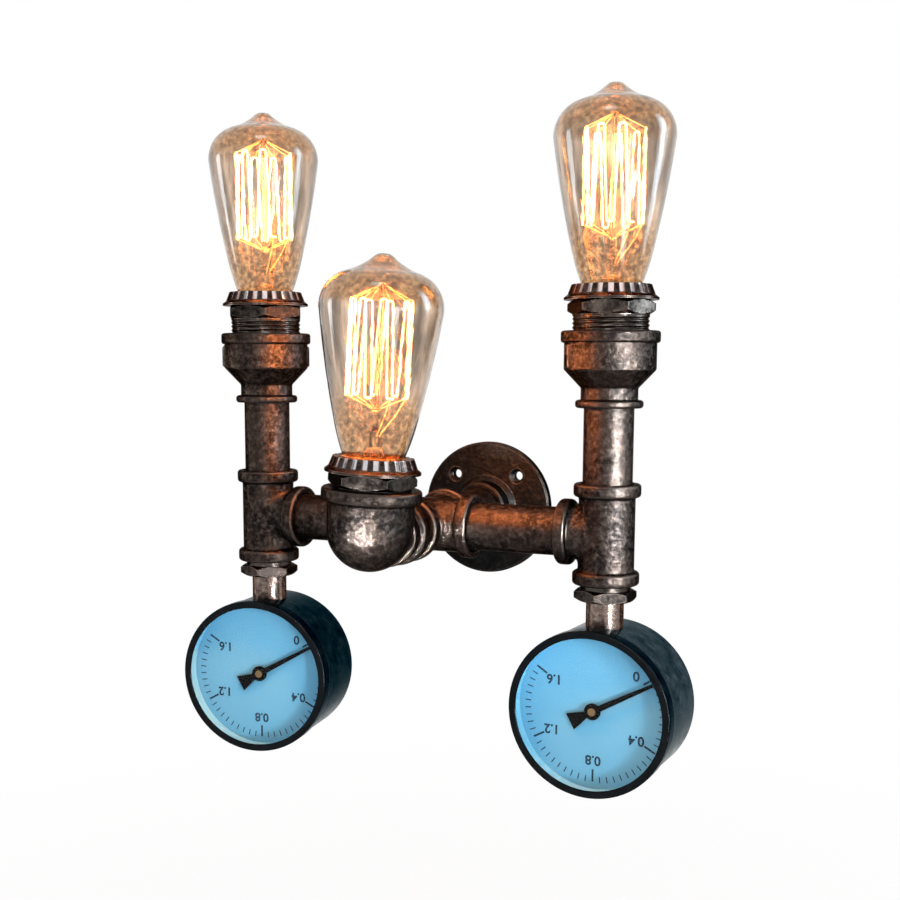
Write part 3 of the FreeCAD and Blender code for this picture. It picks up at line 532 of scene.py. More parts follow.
def bowl(radius):
    """A quarter circle about the ball's centre, from its lowest point up to its widest."""
    quarter = np.linspace(-math.pi / 2, 0, BOWL_STEPS)
    return np.stack([radius * np.cos(quarter), BALL_Z + radius * np.sin(quarter)], 1)


cross_arms = [((0, -1, 0), CROSS_REACH), ((0, 1, 0), CROSS_REACH)]
cast_piece("cast_cross", crossed((1, 0, 0), CROSS_REACH, cross_arms), shift(0, -STANDOFF, 0),
           ((1, 0, 0), BODY_R), [(axis, BRANCH_R) for axis, reach in cross_arms], "cross")
for side, sign in SIDES.items():
    inward = (-sign, 0, 0)
    cast_piece("cast_tee_" + side, crossed((0, 0, 1), TEE_RUN, [(inward, TEE_BRANCH)]), column(side),
               ((0, 0, 1), BODY_R), [(inward, BRANCH_R)], "tee_" + side)

bead_foot = ELBOW_TOP - ELBOW_BEAD
elbow_mouth = [(BALL_R, bead_foot), (TOP_BEAD_R - BEAD_CORNER, bead_foot),
               (TOP_BEAD_R, bead_foot + BEAD_CORNER), (TOP_BEAD_R, ELBOW_TOP - BEAD_CORNER),
               (TOP_BEAD_R - BEAD_CORNER, ELBOW_TOP), (BIG_SOCKET_R + SOCKET_CORNER, ELBOW_TOP),
               (BIG_SOCKET_R, ELBOW_TOP - SOCKET_CORNER), (BIG_SOCKET_R, ELBOW_LEDGE),
               (CHAMBER_R, ELBOW_LEDGE)]
bell = turned_grid(np.concatenate([bowl(BALL_R), elbow_mouth, bowl(CHAMBER_R)[::-1]]))
inlet = turned_grid([(0, INLET_START), (INLET_R, INLET_START), (BODY_R, INLET_END),
                     (BODY_R, ELBOW_SIDE_REACH - BEAD_LAP), (0, ELBOW_SIDE_REACH - BEAD_LAP)])
wallward = (0, 1, 0)
elbow_shells = [(bell, shift(0, 0, 0)), (inlet, aimed(wallward)),
                (bead(ELBOW_SIDE_REACH), aimed(wallward))]
cast_piece("cast_elbow", elbow_shells, leaning(), ((0, 0, 1), BALL_R),
           [(wallward, INLET_R - INLET_THINNING)], "front_elbow")


# Reducing sockets
# One casting each: a pipe bead, a waist, a cone and a wide barrel under a heavy bead, with two
# upright wrench ribs. Turned, except for the ribs, which swell out of the barrel.
BARREL_R, BARREL_LOW, BARREL_HIGH = 24.6, 88.3, 102.0
NECK_BEAD_R, NECK_BEAD_HIGH, WAIST_LOW, WAIST_HIGH = 17.2, 72.2, 72.3, 78.5
REDUCER_TOP, SOCKET_FLOOR, CHAMBER_FLOOR = 108.8, 96.0, 89.8
PIPE_SOCKET_R, PIPE_STOP, STOP_CONE = 13.5, 80.0, 82.0
RIB_TURNS = (math.radians(-137), math.radians(43))
RIB_HALF, RIB_SOFT, RIB_PROUD, RIB_FOOT_R = 2.5, 0.8, 1.5, 21.6
RIB_FOOT, RIB_FULL, RIB_TOP = 85.3, 89.8, 100.4
WALL_STARTS, WALL_STEP, CAST_ROUND, REDUCER_STEPS = 15.0, 0.7, 0.7, 192


def softened(points, radius, steps=4):
    """Round a profile's corners: near each corner the line follows a parabola whose ends lie
    radius away along both edges, or a third of the edge where that is shorter."""
    line = np.asarray(points, float)
    out = [line[:1]]
    t = np.linspace(0, 1, steps + 1)[:, None]
    for before, corner, after in zip(line[:-2], line[1:-1], line[2:]):
        near, far = before - corner, after - corner
        reach_in = min(radius, np.linalg.norm(near) / 3) / max(np.linalg.norm(near), 1e-9)
        reach_out = min(radius, np.linalg.norm(far) / 3) / max(np.linalg.norm(far), 1e-9)
        start, end = corner + near * reach_in, corner + far * reach_out
        out.append((1 - t) ** 2 * start + 2 * t * (1 - t) * corner + t ** 2 * end)
    out.append(line[-1:])
    return np.concatenate(out)


def dense(profile, step):
    """The same line with a point at least every step along it."""
    line = np.asarray(profile, float)
    out = [line[:1]]
    for a, b in zip(line[:-1], line[1:]):
        parts = max(1, int(np.ceil(np.linalg.norm(b - a) / step)))
        out.append(a + (b - a) * np.linspace(0, 1, parts + 1)[1:, None])
    return np.concatenate(out)


def ribbed(radius, angle, height):
    """Near each rib's angle the outer wall swells to the rib's own outline, with soft sides."""
    outline = np.interp(height, [RIB_FOOT, RIB_FULL, RIB_TOP, BARREL_HIGH],
                        [RIB_FOOT_R, BARREL_R + RIB_PROUD, BARREL_R + RIB_PROUD, BARREL_R])
    along = (height > RIB_FOOT) & (height < BARREL_HIGH)
    lift = np.where(along, np.maximum(outline - radius, 0), 0)
    for rib in RIB_TURNS:
        arc = BARREL_R * np.abs(np.angle(np.exp(1j * (angle - rib))))
        share = np.clip((RIB_HALF + RIB_SOFT / 2 - arc) / RIB_SOFT, 0, 1)
        share = share * share * (3 - 2 * share)
        radius = radius + share * lift * (radius > WALL_STARTS)
    return radius, angle, height


outer_wall = softened([(NECK_BEAD_R, REDUCER_BASE), (BEAD_R, 69), (BEAD_R, 71.2),
                       (NECK_BEAD_R, NECK_BEAD_HIGH), (BODY_R, WAIST_LOW), (BODY_R, WAIST_HIGH),
                       (BARREL_R, BARREL_LOW), (BARREL_R, BARREL_HIGH), (BARREL_R + 0.1, 102.4),
                       (TOP_BEAD_R - 0.8, 102.5), (TOP_BEAD_R, 103.4), (TOP_BEAD_R, 107.9),
                       (TOP_BEAD_R - 0.9, REDUCER_TOP), (BIG_SOCKET_R + SOCKET_CORNER, REDUCER_TOP)],
                      CAST_ROUND)
inner_wall = [(BIG_SOCKET_R, 108.0), (BIG_SOCKET_R, SOCKET_FLOOR), (CHAMBER_R, SOCKET_FLOOR),
              (CHAMBER_R, CHAMBER_FLOOR), (PIPE_BORE_R, STOP_CONE), (PIPE_BORE_R, PIPE_STOP),
              (PIPE_SOCKET_R, PIPE_STOP), (PIPE_SOCKET_R, 68.8), (14.3, REDUCER_BASE)]
reducer_wall = np.concatenate([dense(outer_wall, WALL_STEP), inner_wall])
for side in SIDES:
    grid = turned_grid(reducer_wall, REDUCER_STEPS, closed=True, warp=ribbed)
    piece = surface("cast_reducer_" + side, [grid], column(side), crease=50)
    finish_piece(piece, cast_iron, "cast_iron_dark", "reducer_" + side)


# Hex bushings
# Bar stock turned to a thread below and left hexagonal above, its six corners taken off by a
# cone. The thread's groove shows between the reducer and the hex.
COLUMN_HEX_Z, FRONT_HEX_Z = 117.2, 27.8
LAMPS = ("left", "front", "right")
BUSHING_BORE_R, BUSHING_R, BUSHING_LOW, BUSHING_STEPS = 17.45, 20.5, -20, 240
HEX_ACROSS, HEX_HEIGHT, HEX_FACE_R, HEX_CONE = 41.0, 7.7, 20.1, math.radians(30)
HEX_TURN = {"left": math.radians(30), "right": math.radians(37), "front": math.radians(45)}
THREAD_PITCH, THREAD_DEPTH, THREAD_RUNOUT = 2.309, 0.8, 0.9
SHANK_TOP, THREAD_LOW, FIRST_TURN = -9.7, -9.6, -9.5
machined = patina_metal("machined_hex", OXIDE, (0.055, 0.046, 0.041), WORN, patch=80.0, scuffs=0.2,
                        mottle=0.1, bump=0.15, dimple=0.3, finish=(0.22, 0.36), edge="bevel")


def lamp(name):
    """Place of a lamp's hex head: a column's top, or the leaning elbow's mouth."""
    if name == "front":
        return leaning() @ shift(0, 0, FRONT_HEX_Z)
    return column(name) @ shift(0, 0, COLUMN_HEX_Z)


def hexed(turn):
    """Above zero the outer wall is a hexagon, less than the cone of both end faces. Below zero it
    is a thread: a triangle wave in height minus angle, that fades out under the hex."""
    def warp(radius, angle, height):
        sector = (angle - turn + math.pi / 6) % (math.pi / 3) - math.pi / 6
        flat = HEX_ACROSS / 2 / np.cos(sector)
        cone = HEX_FACE_R + np.minimum(height, HEX_HEIGHT - height) / math.tan(HEX_CONE)
        wave = np.abs(((height / THREAD_PITCH - angle / (2 * math.pi)) % 1) * 2 - 1)
        groove = THREAD_DEPTH * wave * np.clip(-height / THREAD_RUNOUT - 0.4, 0, 1)
        shaped = np.where(height >= 0, np.minimum(flat, cone), radius - groove)
        plain = (radius <= BUSHING_BORE_R + 1) | (height < THREAD_LOW)
        return np.where(plain, radius, shaped), angle, height
    return warp


stock = np.concatenate([[(BUSHING_BORE_R, BUSHING_LOW), (BUSHING_R, BUSHING_LOW), (BUSHING_R, SHANK_TOP)],
                        dense([(BUSHING_R, FIRST_TURN), (BUSHING_R, -0.01)], 0.29),
                        dense([(BUSHING_R, 0.0), (BUSHING_R, HEX_HEIGHT)], 0.35),
                        [(BUSHING_BORE_R, HEX_HEIGHT)]])
for name in LAMPS:
    grid = turned_grid(stock, BUSHING_STEPS, closed=True, warp=hexed(HEX_TURN[name]))
    piece = surface("hex_" + name, [grid], lamp(name), crease=30)
    finish_piece(piece, machined, "cast_iron_dark", "hex_bushing_" + name)


# Wall flange
# A cast floor flange: round plate, threaded hub and four countersunk screw holes. The packed
# shape is right, so it takes the dark iron with its edges rubbed.
flange_iron = patina_metal("flange_iron", (0.004, 0.0047, 0.005), (0.0075, 0.0075, 0.0075),
                           (0.17, 0.145, 0.13), scuffs=0.05, mottle=0.05, edge="bevel")


def dress(node, material):
    """A better material for a CAD node whose shape is right."""
    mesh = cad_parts[node].data
    mesh.materials.clear()
    mesh.materials.append(material)


dress("wall_flange", flange_iron)


# Lampholders
# Glazed porcelain cups in the hex bushings, with thin brass shells and sprung contacts inside.
# They show only when a bulb is out.
PORCELAIN, GLAZE_SHADE, GLAZE_ROUGH = (0.82, 0.79, 0.72), 0.85, 0.12


def make_porcelain():
    """Off-white glaze, a little darker where slow noise is low, over a faintly waved surface."""
    material, tree = fresh_material("porcelain")
    cloud = noise(tree, object_point(tree), 90.0, 3.0)
    tone = mixed(tree, cloud, tuple(c * GLAZE_SHADE for c in PORCELAIN), PORCELAIN)
    shaded(tree, {"Base Color": tone, "Roughness": GLAZE_ROUGH,
                  "Normal": bumped(tree, cloud, 0.08, 0.3)})
    return material


porcelain = make_porcelain()
rolled_brass = patina_metal("rolled_brass", (0.3, 0.2, 0.09), (0.62, 0.45, 0.2), (0.85, 0.68, 0.36),
                            patch=120.0, scuffs=0.3, mottle=0.2, bump=0.05, dimple=0.2,
                            finish=(0.22, 0.34), edge="bevel", reach=0.3)
for name in LAMPS:
    dress("lampholder_" + name, porcelain)
    dress("screw_shell_" + name, rolled_brass)
    dress("centre_contact_" + name, rolled_brass)


# Shade rings
# Dark bronze rings that screw on the porcelain collars. Their walls are milled into teeth, and
# the floors of the gaps carry a painted highlight in pale bluish metal.
RING_BASE_R, RING_TAPER, RING_FOOT, RING_HIGH = 23.2, 2.0, 10.4, 15.7
GAP_DEPTH, GAP_MARGIN = 0.9, 0.1
# The pale colour of the gap floors is a painted highlight.
BRONZE, GAP_FLOOR_HIGHLIGHT = (0.03, 0.023, 0.02), (0.56, 0.57, 0.6)


def about_axis(tree, place):
    """How far a point lies from a place's own Z axis, and how far along it, in metres."""
    home = place.inverted()
    local = put(tree, "ShaderNodeMapping", {
        "Vector": object_point(tree), "Location": [x * MM for x in home.translation],
        "Rotation": home.to_euler()[:]}).outputs[0]
    off = vector_calc(tree, "LENGTH", vector_calc(tree, "MULTIPLY", local, (1, 1, 0)))
    return off, put(tree, "ShaderNodeSeparateXYZ", {0: local}).outputs["Z"]


def ring_material(name):
    """Bronze patina, with a painted highlight where a point lies nearer the axis than the teeth's faces.
    """
    material = patina_metal("ring_" + name, (0.01, 0.008, 0.008), BRONZE, (0.35, 0.27, 0.23), patch=90.0,
                            scuffs=0.2, mottle=0.1, bump=0.12, dimple=0.3, finish=(0.22, 0.34),
                            edge="bevel", reach=0.5)
    tree = material.node_tree
    off, high = about_axis(tree, lamp(name))
    slope = ramp(tree, high, RING_FOOT * MM, RING_HIGH * MM, (RING_BASE_R - GAP_DEPTH) * MM,
                 (RING_BASE_R - RING_TAPER - GAP_DEPTH) * MM)
    inside = calc(tree, "LESS_THAN", off, slope)
    above = calc(tree, "GREATER_THAN", high, (RING_FOOT + GAP_MARGIN) * MM)
    under = calc(tree, "LESS_THAN", high, (RING_HIGH - GAP_MARGIN) * MM)
    mask = calc(tree, "MULTIPLY", calc(tree, "MULTIPLY", inside, above), under)
    shader = next(n for n in tree.nodes if n.type == "BSDF_PRINCIPLED")
    bronze = shader.inputs["Base Color"].links[0].from_socket
    # Painted highlight on the floors between the teeth.
    tree.links.new(mixed(tree, mask, bronze, GAP_FLOOR_HIGHLIGHT), shader.inputs["Base Color"])
    return material


for name in LAMPS:
    dress("shade_ring_" + name, ring_material(name))


# Bulbs
# Pear-shaped bulbs of thin amber glass on brass screw caps. The outline is four arcs, and the
# wall is 0.8 mm thick. A glass mount holds a rod with two buttons, and hooks that spread from
# them carry the long filament up and down in a cage.
BULB_FOOT_Z, BULB_LENGTH, GLASS_WALL = -21.3, 140.0, 0.8
NECK_R, NECK_SEAL, NECK_TOP = 12.4, 20.0, 29.0
NIB, CROWN, SHOULDER = (4.4, 1.0), ((9.5, 4.9), (19.0, 9.2)), ((29.2, 17.1), (32.0, 27.8))
FLANK, THROAT = ((28.3, 52.0), (21.6, 85.0)), ((17.6, 99.0), (13.6, 109.0))
CAP_R, CAP_START, CAP_TOP, CAP_PITCH, CAP_GROOVE = 13.1, 6.0, 27.0, 3.629, 0.7
THREAD_START, THREAD_END, THREAD_FADE = 8.2, 24.6, 1.5
CAGE_R, CAGE_TOP, CAGE_FOOT, STRAND_COUNT = 16.0, 117.0, 68.0, 18
HIGH_BUTTON, LOW_BUTTON, BUTTON_R, PRESS_Z, PRESS_R = 124.0, 62.0, 2.4, 50.0, 3.6
STRAND_R, HOOK_R, LEAD_R, TURN_HALF = 0.62, 0.3, 0.35, 0.3
STRAND_STEP, TURN_BEND, LEAD_BEND = 12.0, 1.6, 8.0
GLASS_TOP, GLASS_LOW, GLASS_EDGE = (0.56, 0.395, 0.27), (0.745, 0.63, 0.53), (0.2, 0.16, 0.13)
# The flecks' colours also paint the hot filament's reflection on the neck.
FLECK_AND_GLINT_GOLD, FLECK_AND_GLINT_BROWN, NECK_GLINT_SHARE, CROWN_SHARE = (0.98, 0.73, 0.47), (0.4, 0.26, 0.165), 0.85, 0.7
AMBER_RISE, STREAK_DARK, STREAK_LIGHT = (0.81, 0.86), 0.52, 1.3
# Heights of the band where the neck carries the painted filament reflection.
NECK_GLINT_RISE = (0.2, 0.26, 0.4, 0.54)
GLASS_BENDING = 1.48
HOT_CORE, HOT_EDGE = (1.0, 0.56, 0.18), (1.0, 0.1, 0.006)
GLOW_POWER, GLOW_COLOUR, GLOW_R, GLOW_Z = 4.4, (1.0, 0.3, 0.07), 0.012, 92


def arc_through(a, b, c, steps=14):
    """The circle through three points, from the first to the last: its centre is equally far
    from all three, and the angle runs the way that passes the middle one."""
    a, b, c = (np.array(p, float) for p in (a, b, c))
    chords = 2 * np.array([b - a, c - a])
    centre = np.linalg.solve(chords, [b @ b - a @ a, c @ c - a @ a])
    first, middle, last = (math.atan2(*(p - centre)[::-1]) for p in (a, b, c))
    sweep = (last - first) % (2 * math.pi)
    if (middle - first) % (2 * math.pi) > sweep:
        sweep -= 2 * math.pi
    angle = first + np.linspace(0, sweep, steps + 1)[1:]
    radius = np.linalg.norm(a - centre)
    return centre + radius * np.stack([np.cos(angle), np.sin(angle)], 1)


def bulb_profile():
    """The outer line from neck to tip, then the same line moved in by the wall, back down."""
    def at(point):
        return (point[0], BULB_LENGTH - point[1])
    line = [np.array([(NECK_R, NECK_SEAL), (NECK_R, NECK_TOP), at(THROAT[1])])]
    for start, middle, end in ((THROAT[1], THROAT[0], FLANK[1]), (FLANK[1], FLANK[0], SHOULDER[1]),
                               (SHOULDER[1], SHOULDER[0], CROWN[1]), (CROWN[1], CROWN[0], NIB)):
        line.append(arc_through(at(start), at(middle), at(end)))
    line.append([(3.4, BULB_LENGTH - 0.4), (2.0, BULB_LENGTH - 0.1), (0, BULB_LENGTH)])
    outer = np.concatenate(line)
    along = np.gradient(outer, axis=0)
    along /= np.linalg.norm(along, axis=1)[:, None]
    inner = outer + GLASS_WALL * np.stack([-along[:, 1], along[:, 0]], 1)
    inner = inner[inner[:, 0] > GLASS_WALL / 2]
    inner[0] = (NECK_R - GLASS_WALL, NECK_SEAL)
    return np.concatenate([outer, [(0, inner[-1, 1])], inner[::-1], outer[:1]])


def swept(path, radius, sides=6):
    """A round wire along a path: at each point a ring of sides round the direction of travel,
    with ring axes carried from one point to the next by the least turn."""
    path = np.asarray(path, float)
    along = np.gradient(path, axis=0)
    along /= np.linalg.norm(along, axis=1)[:, None]
    side = np.zeros_like(path)
    first = np.cross(along[0], (0.3, 0.5, 0.8))
    side[0] = first / np.linalg.norm(first)
    for k in range(1, len(path)):
        carried = side[k - 1] - along[k] * (side[k - 1] @ along[k])
        side[k] = carried / np.linalg.norm(carried)
    other = np.cross(along, side)
    angle = np.linspace(0, 2 * math.pi, sides, endpoint=False)
    ring = side[:, None] * np.cos(angle)[None, :, None] + other[:, None] * np.sin(angle)[None, :, None]
    body = (path[:, None] + radius * ring).reshape(-1, 3)
    i, j = np.meshgrid(np.arange(len(path) - 1), np.arange(sides), indexing="ij")
    beside = (j + 1) % sides
    quads = np.stack([i * sides + j, i * sides + beside, (i + 1) * sides + beside,
                      (i + 1) * sides + j], -1).reshape(-1, 4)
    tail, last, j = len(body), (len(path) - 1) * sides, np.arange(sides)
    beside = (j + 1) % sides
    caps = np.concatenate([np.stack([np.full(sides, tail), beside, j, j], 1),
                           np.stack([np.full(sides, tail + 1), last + j, last + beside,
                                     last + beside], 1)])
    return np.concatenate([body, path[[0, -1]]]), np.concatenate([quads, caps])


def cage_point(radius, step, height):
    angle = 2 * math.pi * step / STRAND_COUNT
    return np.array([radius * math.cos(angle), radius * math.sin(angle), height])


def strand_grids():
    """The filament: one wire up and down between the hooks, bent short and square at each."""
    stops = [cage_point(CAGE_R, k + lean, CAGE_TOP if k % 2 else CAGE_FOOT)
             for k in range(STRAND_COUNT - 1) for lean in (-TURN_HALF, TURN_HALF)]
    return [swept(softened(dense(np.array(stops), STRAND_STEP), TURN_BEND, 3), STRAND_R)]


def hook_grids():
    """Hooks from the buttons to the strand's turns, and two leads from the pressed glass."""
    grids = []
    for k in range(STRAND_COUNT - 1):
        hub, stop = (HIGH_BUTTON, CAGE_TOP) if k % 2 else (LOW_BUTTON, CAGE_FOOT)
        grids.append(swept([cage_point(BUTTON_R, k, hub), cage_point(CAGE_R, k, stop)], HOOK_R))
    for k in (0, STRAND_COUNT - 2):
        lead = [cage_point(PRESS_R * 0.6, k, PRESS_Z - 2),
                cage_point(CAGE_R * 0.7, k, (PRESS_Z + CAGE_FOOT) / 2), cage_point(CAGE_R, k, CAGE_FOOT)]
        grids.append(swept(softened(lead, LEAD_BEND, 6), LEAD_R))
    return grids


def stem_profile():
    """A flared tube up from the seal, a pressed waist, and a rod that swells at two buttons."""
    line = [(0, 42), (2.8, 42), (5.8, 39), (5.8, 24), (11.6, 21), (11.6, 22), (6.6, 25), (6.6, 39),
            (3.6, 42), (3.6, 50), (1.3, 52)]
    for height in (LOW_BUTTON, HIGH_BUTTON):
        line += [(1.3, height - 1.6), (BUTTON_R, height - 0.8), (BUTTON_R, height + 0.8),
                 (1.3, height + 1.6)]
    return softened(line + [(0, HIGH_BUTTON + 1.6)], 0.8)


def cap_thread(radius, angle, height):
    """A rolled thread: the wall moves in by half the groove times one minus the cosine of its
    phase, which is height over pitch less the share of a turn."""
    phase = 2 * math.pi * height / CAP_PITCH - angle
    share = (np.clip((height - THREAD_START) / THREAD_FADE, 0, 1)
             * np.clip((THREAD_END - height) / THREAD_FADE, 0, 1))
    return radius - share * CAP_GROOVE / 2 * (1 - np.cos(phase)), angle, height


def cap_profile():
    """The threaded wall over its rolled foot, the lip that grips the glass, and the inside."""
    wall = dense([(CAP_R, 7.5), (CAP_R, 25.6)], 0.45)
    return np.concatenate([[(10.6, CAP_START), (12.6, 6.6)], wall,
                           [(13.4, 26.0), (13.4, CAP_TOP), (12.6, CAP_TOP), (12.45, 25.6), (11.7, 24),
                            (11.7, 9.0), (10.6, 6.6)]])


def bulb_glass_material():
    """Smoky glass under an amber crown: the colour turns with the rise attribute, waves along
    upright streaks, and deepens where the wall is seen edge on, for its longer path and as a painted
    dark reflection at the rim. Gold and brown flecks, by a finer noise, cover a share of the crown,
    and of the neck, where they are a painted reflection of the hot filament."""
    material, tree = fresh_material("amber_glass")
    rise = put(tree, "ShaderNodeAttribute", attribute_name="rise").outputs["Fac"]
    crown = ramp(tree, rise, *AMBER_RISE, soft=True)
    where = object_point(tree)
    drawn = vector_calc(tree, "MULTIPLY", where, (1, 1, 0.15))
    depth = ramp(tree, noise(tree, drawn, 110.0, 3.0), 0.38, 0.62, STREAK_DARK, STREAK_LIGHT)
    streaked = mixed(tree, 1.0, mixed(tree, crown, GLASS_LOW, GLASS_TOP), depth, "MULTIPLY")
    facing = put(tree, "ShaderNodeLayerWeight", {"Blend": 0.5}).outputs["Facing"]
    # Darker edge on: the longer path through the glass, and a painted dark reflection at the rim.
    long_path_and_dark_rim = ramp(tree, facing, 0.5, 0.95, 0.0, 0.8, soft=True)
    shown = mixed(tree, long_path_and_dark_rim, streaked, GLASS_EDGE)
    # The neck band: painted reflection of the hot filament.
    above = ramp(tree, rise, NECK_GLINT_RISE[0], NECK_GLINT_RISE[1], soft=True)
    below = ramp(tree, rise, NECK_GLINT_RISE[2], NECK_GLINT_RISE[3], 1.0, 0.0, soft=True)
    neck = calc(tree, "MULTIPLY", calc(tree, "MULTIPLY", above, below), NECK_GLINT_SHARE)
    share = calc(tree, "MULTIPLY_ADD", crown, CROWN_SHARE, neck)
    turned = ramp(tree, noise(tree, where, 330.0, 5.0, Roughness=0.65), 0.4, 0.6)
    mottled = mixed(tree, share, shown, mixed(tree, turned, FLECK_AND_GLINT_BROWN, FLECK_AND_GLINT_GOLD))
    ripple = noise(tree, drawn, 220.0, 2.0)
    shaded(tree, {"Base Color": mottled, "Roughness": 0.0, "IOR": GLASS_BENDING, "Metallic": 0.0,
                  "Transmission Weight": 1.0, "Normal": bumped(tree, ripple, 0.45, 0.3)})
    return material


def clear_glass_material(name, tint, bending=GLASS_BENDING):
    material, tree = fresh_material(name)
    shaded(tree, {"Base Color": colour(*tint), "Roughness": 0.02, "IOR": bending, "Metallic": 0.0,
                  "Transmission Weight": 1.0})
    return material


def glowing_wire(name, strength):
    """Hot wire: yellow where it faces the eye, orange at its edges, where the glow is thinner. The
    hooks take it as well, a faint painted glow.
    """
    material, tree = fresh_material(name)
    facing = put(tree, "ShaderNodeLayerWeight", {"Blend": 0.45}).outputs["Facing"]
    shaded(tree, {"Base Color": colour(0.5, 0.3, 0.15), "Roughness": 0.4,
                  "Emission Color": mixed(tree, facing, HOT_CORE, HOT_EDGE),
                  "Emission Strength": strength})
    return material


def make_vitrite():
    """Black glass insulator, flecked grey by fine noise."""
    material, tree = fresh_material("vitrite")
    speck = noise(tree, object_point(tree), 900.0, 3.0)
    tone = mixed(tree, speck, (0.012, 0.012, 0.014), (0.05, 0.05, 0.055))
    shaded(tree, {"Base Color": tone, "Roughness": 0.2})
    return material


amber_glass = bulb_glass_material()
stem_glass = clear_glass_material("stem_glass", (0.95, 0.9, 0.82))
hot_strand = glowing_wire("hot_strand", 18.0)
# The hooks and leads are not the filament: their faint glow is painted light.
painted_glow_hook = glowing_wire("painted_glow_hook", 3.0)
vitrite = make_vitrite()
for name in LAMPS:
    body, place = "bulb_" + name, lamp(name) @ shift(0, 0, BULB_FOOT_Z)
    glass = surface("glass_" + name, [turned_grid(bulb_profile(), 96)], place, crease=60)
    height = laid(mesh_points(glass.data) / MM, place.inverted())[:, 2]
    glass.data.attributes.new("rise", "FLOAT", "POINT").data.foreach_set(
        "value", np.clip(height / BULB_LENGTH, 0, 1).astype(np.float32))
    glass.visible_shadow = False
    finish_piece(glass, amber_glass, "bulb_glass_amber", "bulb_glass_" + name, body=body)
    strand = surface("strand_" + name, strand_grids(), place, crease=80)
    finish_piece(strand, hot_strand, "filament_wire", "filament_" + name, body=body)
    # Painted glow on the hooks and leads.
    hooks = surface("hooks_" + name, hook_grids(), place, crease=80)
    finish_piece(hooks, painted_glow_hook, "filament_wire", body=body)
    stem = surface("mount_" + name, [turned_grid(stem_profile(), 32)], place, crease=50)
    stem.visible_shadow = False
    finish_piece(stem, stem_glass, "stem_glass", "bulb_stem_" + name, body=body)
    cap_grid = turned_grid(cap_profile(), 72, closed=True, warp=cap_thread)
    cap = surface("cap_" + name, [cap_grid], place, crease=40)
    finish_piece(cap, rolled_brass, "shell_brass", "bulb_cap_" + name, body=body)
    dress("bulb_contact_" + name, vitrite)
    glow = bpy.data.lights.new("glow_" + name, "POINT")
    glow.energy, glow.color, glow.shadow_soft_size = GLOW_POWER, GLOW_COLOUR, GLOW_R
    ember = added("glow_" + name, glow)
    ember.location = (place @ shift(0, 0, GLOW_Z)).translation * MM
    ember.visible_camera = ember.visible_transmission = False


# Gauge cases and bezels
# A deep drawn cup and a front ring, both in black gloss enamel. The inner wall in front of the
# dial is painted pale cyan as painted light, and shows as a bright crescent on the far side.
GAUGE_Z, GAUGE_FRONT, GAUGE_STEPS = -95.3, 25.2, 180
GAUGE_TURN = {"left": math.radians(6.5), "right": math.radians(-4.0)}
GAUGE_R, CASE_R, CASE_WALL, CASE_DEPTH, CASE_EDGE, CASE_START = 45.9, 45.0, 1.2, 50.5, 3.5, 3.8
BEZEL_OPENING_R, BEZEL_DEPTH, BEZEL_LIP, BEZEL_GAP = 41.6, 9.0, 1.6, 0.05
# The right case's colours are lighter than the left's: painted light, for the stronger light on that
# side. The cloudy lighter patches are wear.
CASE_ENAMEL_LIT_RIGHT = {"left": (0.007, 0.0085, 0.0095), "right": (0.015, 0.0185, 0.021)}
CASE_WEAR_LIT_RIGHT = {"left": (0.024, 0.031, 0.035), "right": (0.085, 0.108, 0.12)}
RING_ENAMEL, RING_WORN = (0.007, 0.0085, 0.0095), (0.014, 0.016, 0.018)
# Painted light: the pale cyan of the case's inner wall, and how deep it reaches.
CASE_INSIDE_LIGHT, INSIDE_LIGHT_DEPTH = (0.2, 0.55, 0.75), 20
ENAMEL_RIM = (0.4, 0.44, 0.46)


def gauge(side):
    """A gauge's own axes: Z points back from the front of its bezel, and X to the viewer's right."""
    back = Matrix(((1, 0, 0, 0), (0, 0, 1, -GAUGE_FRONT), (0, -1, 0, GAUGE_Z), (0, 0, 0, 1)))
    return column(side) @ Matrix.Rotation(GAUGE_TURN[side], 4, "Z") @ back


def enamel_material(name, fresh, worn, lit_inside_side=None):
    """Black enamel with faint cloudy wear. On a case it carries painted light: pale cyan where a
    point lies nearer the gauge's axis than the middle of the wall, and in front of the floor."""
    material, tree = fresh_material(name)
    cloud = noise(tree, object_point(tree), 110.0, 7.0, Roughness=0.7)
    shown, metal = mixed(tree, ramp(tree, cloud, 0.3, 0.76), fresh, worn), 1.0
    if lit_inside_side:
        off, depth = about_axis(tree, gauge(lit_inside_side))
        inside = calc(tree, "LESS_THAN", off, (CASE_R - CASE_WALL / 2) * MM)
        front = calc(tree, "LESS_THAN", depth, INSIDE_LIGHT_DEPTH * MM)
        mask = calc(tree, "MULTIPLY", inside, front)
        # Painted light on the inner wall.
        shown, metal = mixed(tree, mask, shown, CASE_INSIDE_LIGHT), calc(tree, "SUBTRACT", 1.0, mask)
    shaded(tree, {"Base Color": shown, "Roughness": ramp(tree, cloud, 0.35, 0.7, 0.12, 0.34),
                  "Metallic": metal, "Specular Tint": colour(*ENAMEL_RIM),
                  "Normal": bumped(tree, cloud, 0.2, 0.4)})
    return material


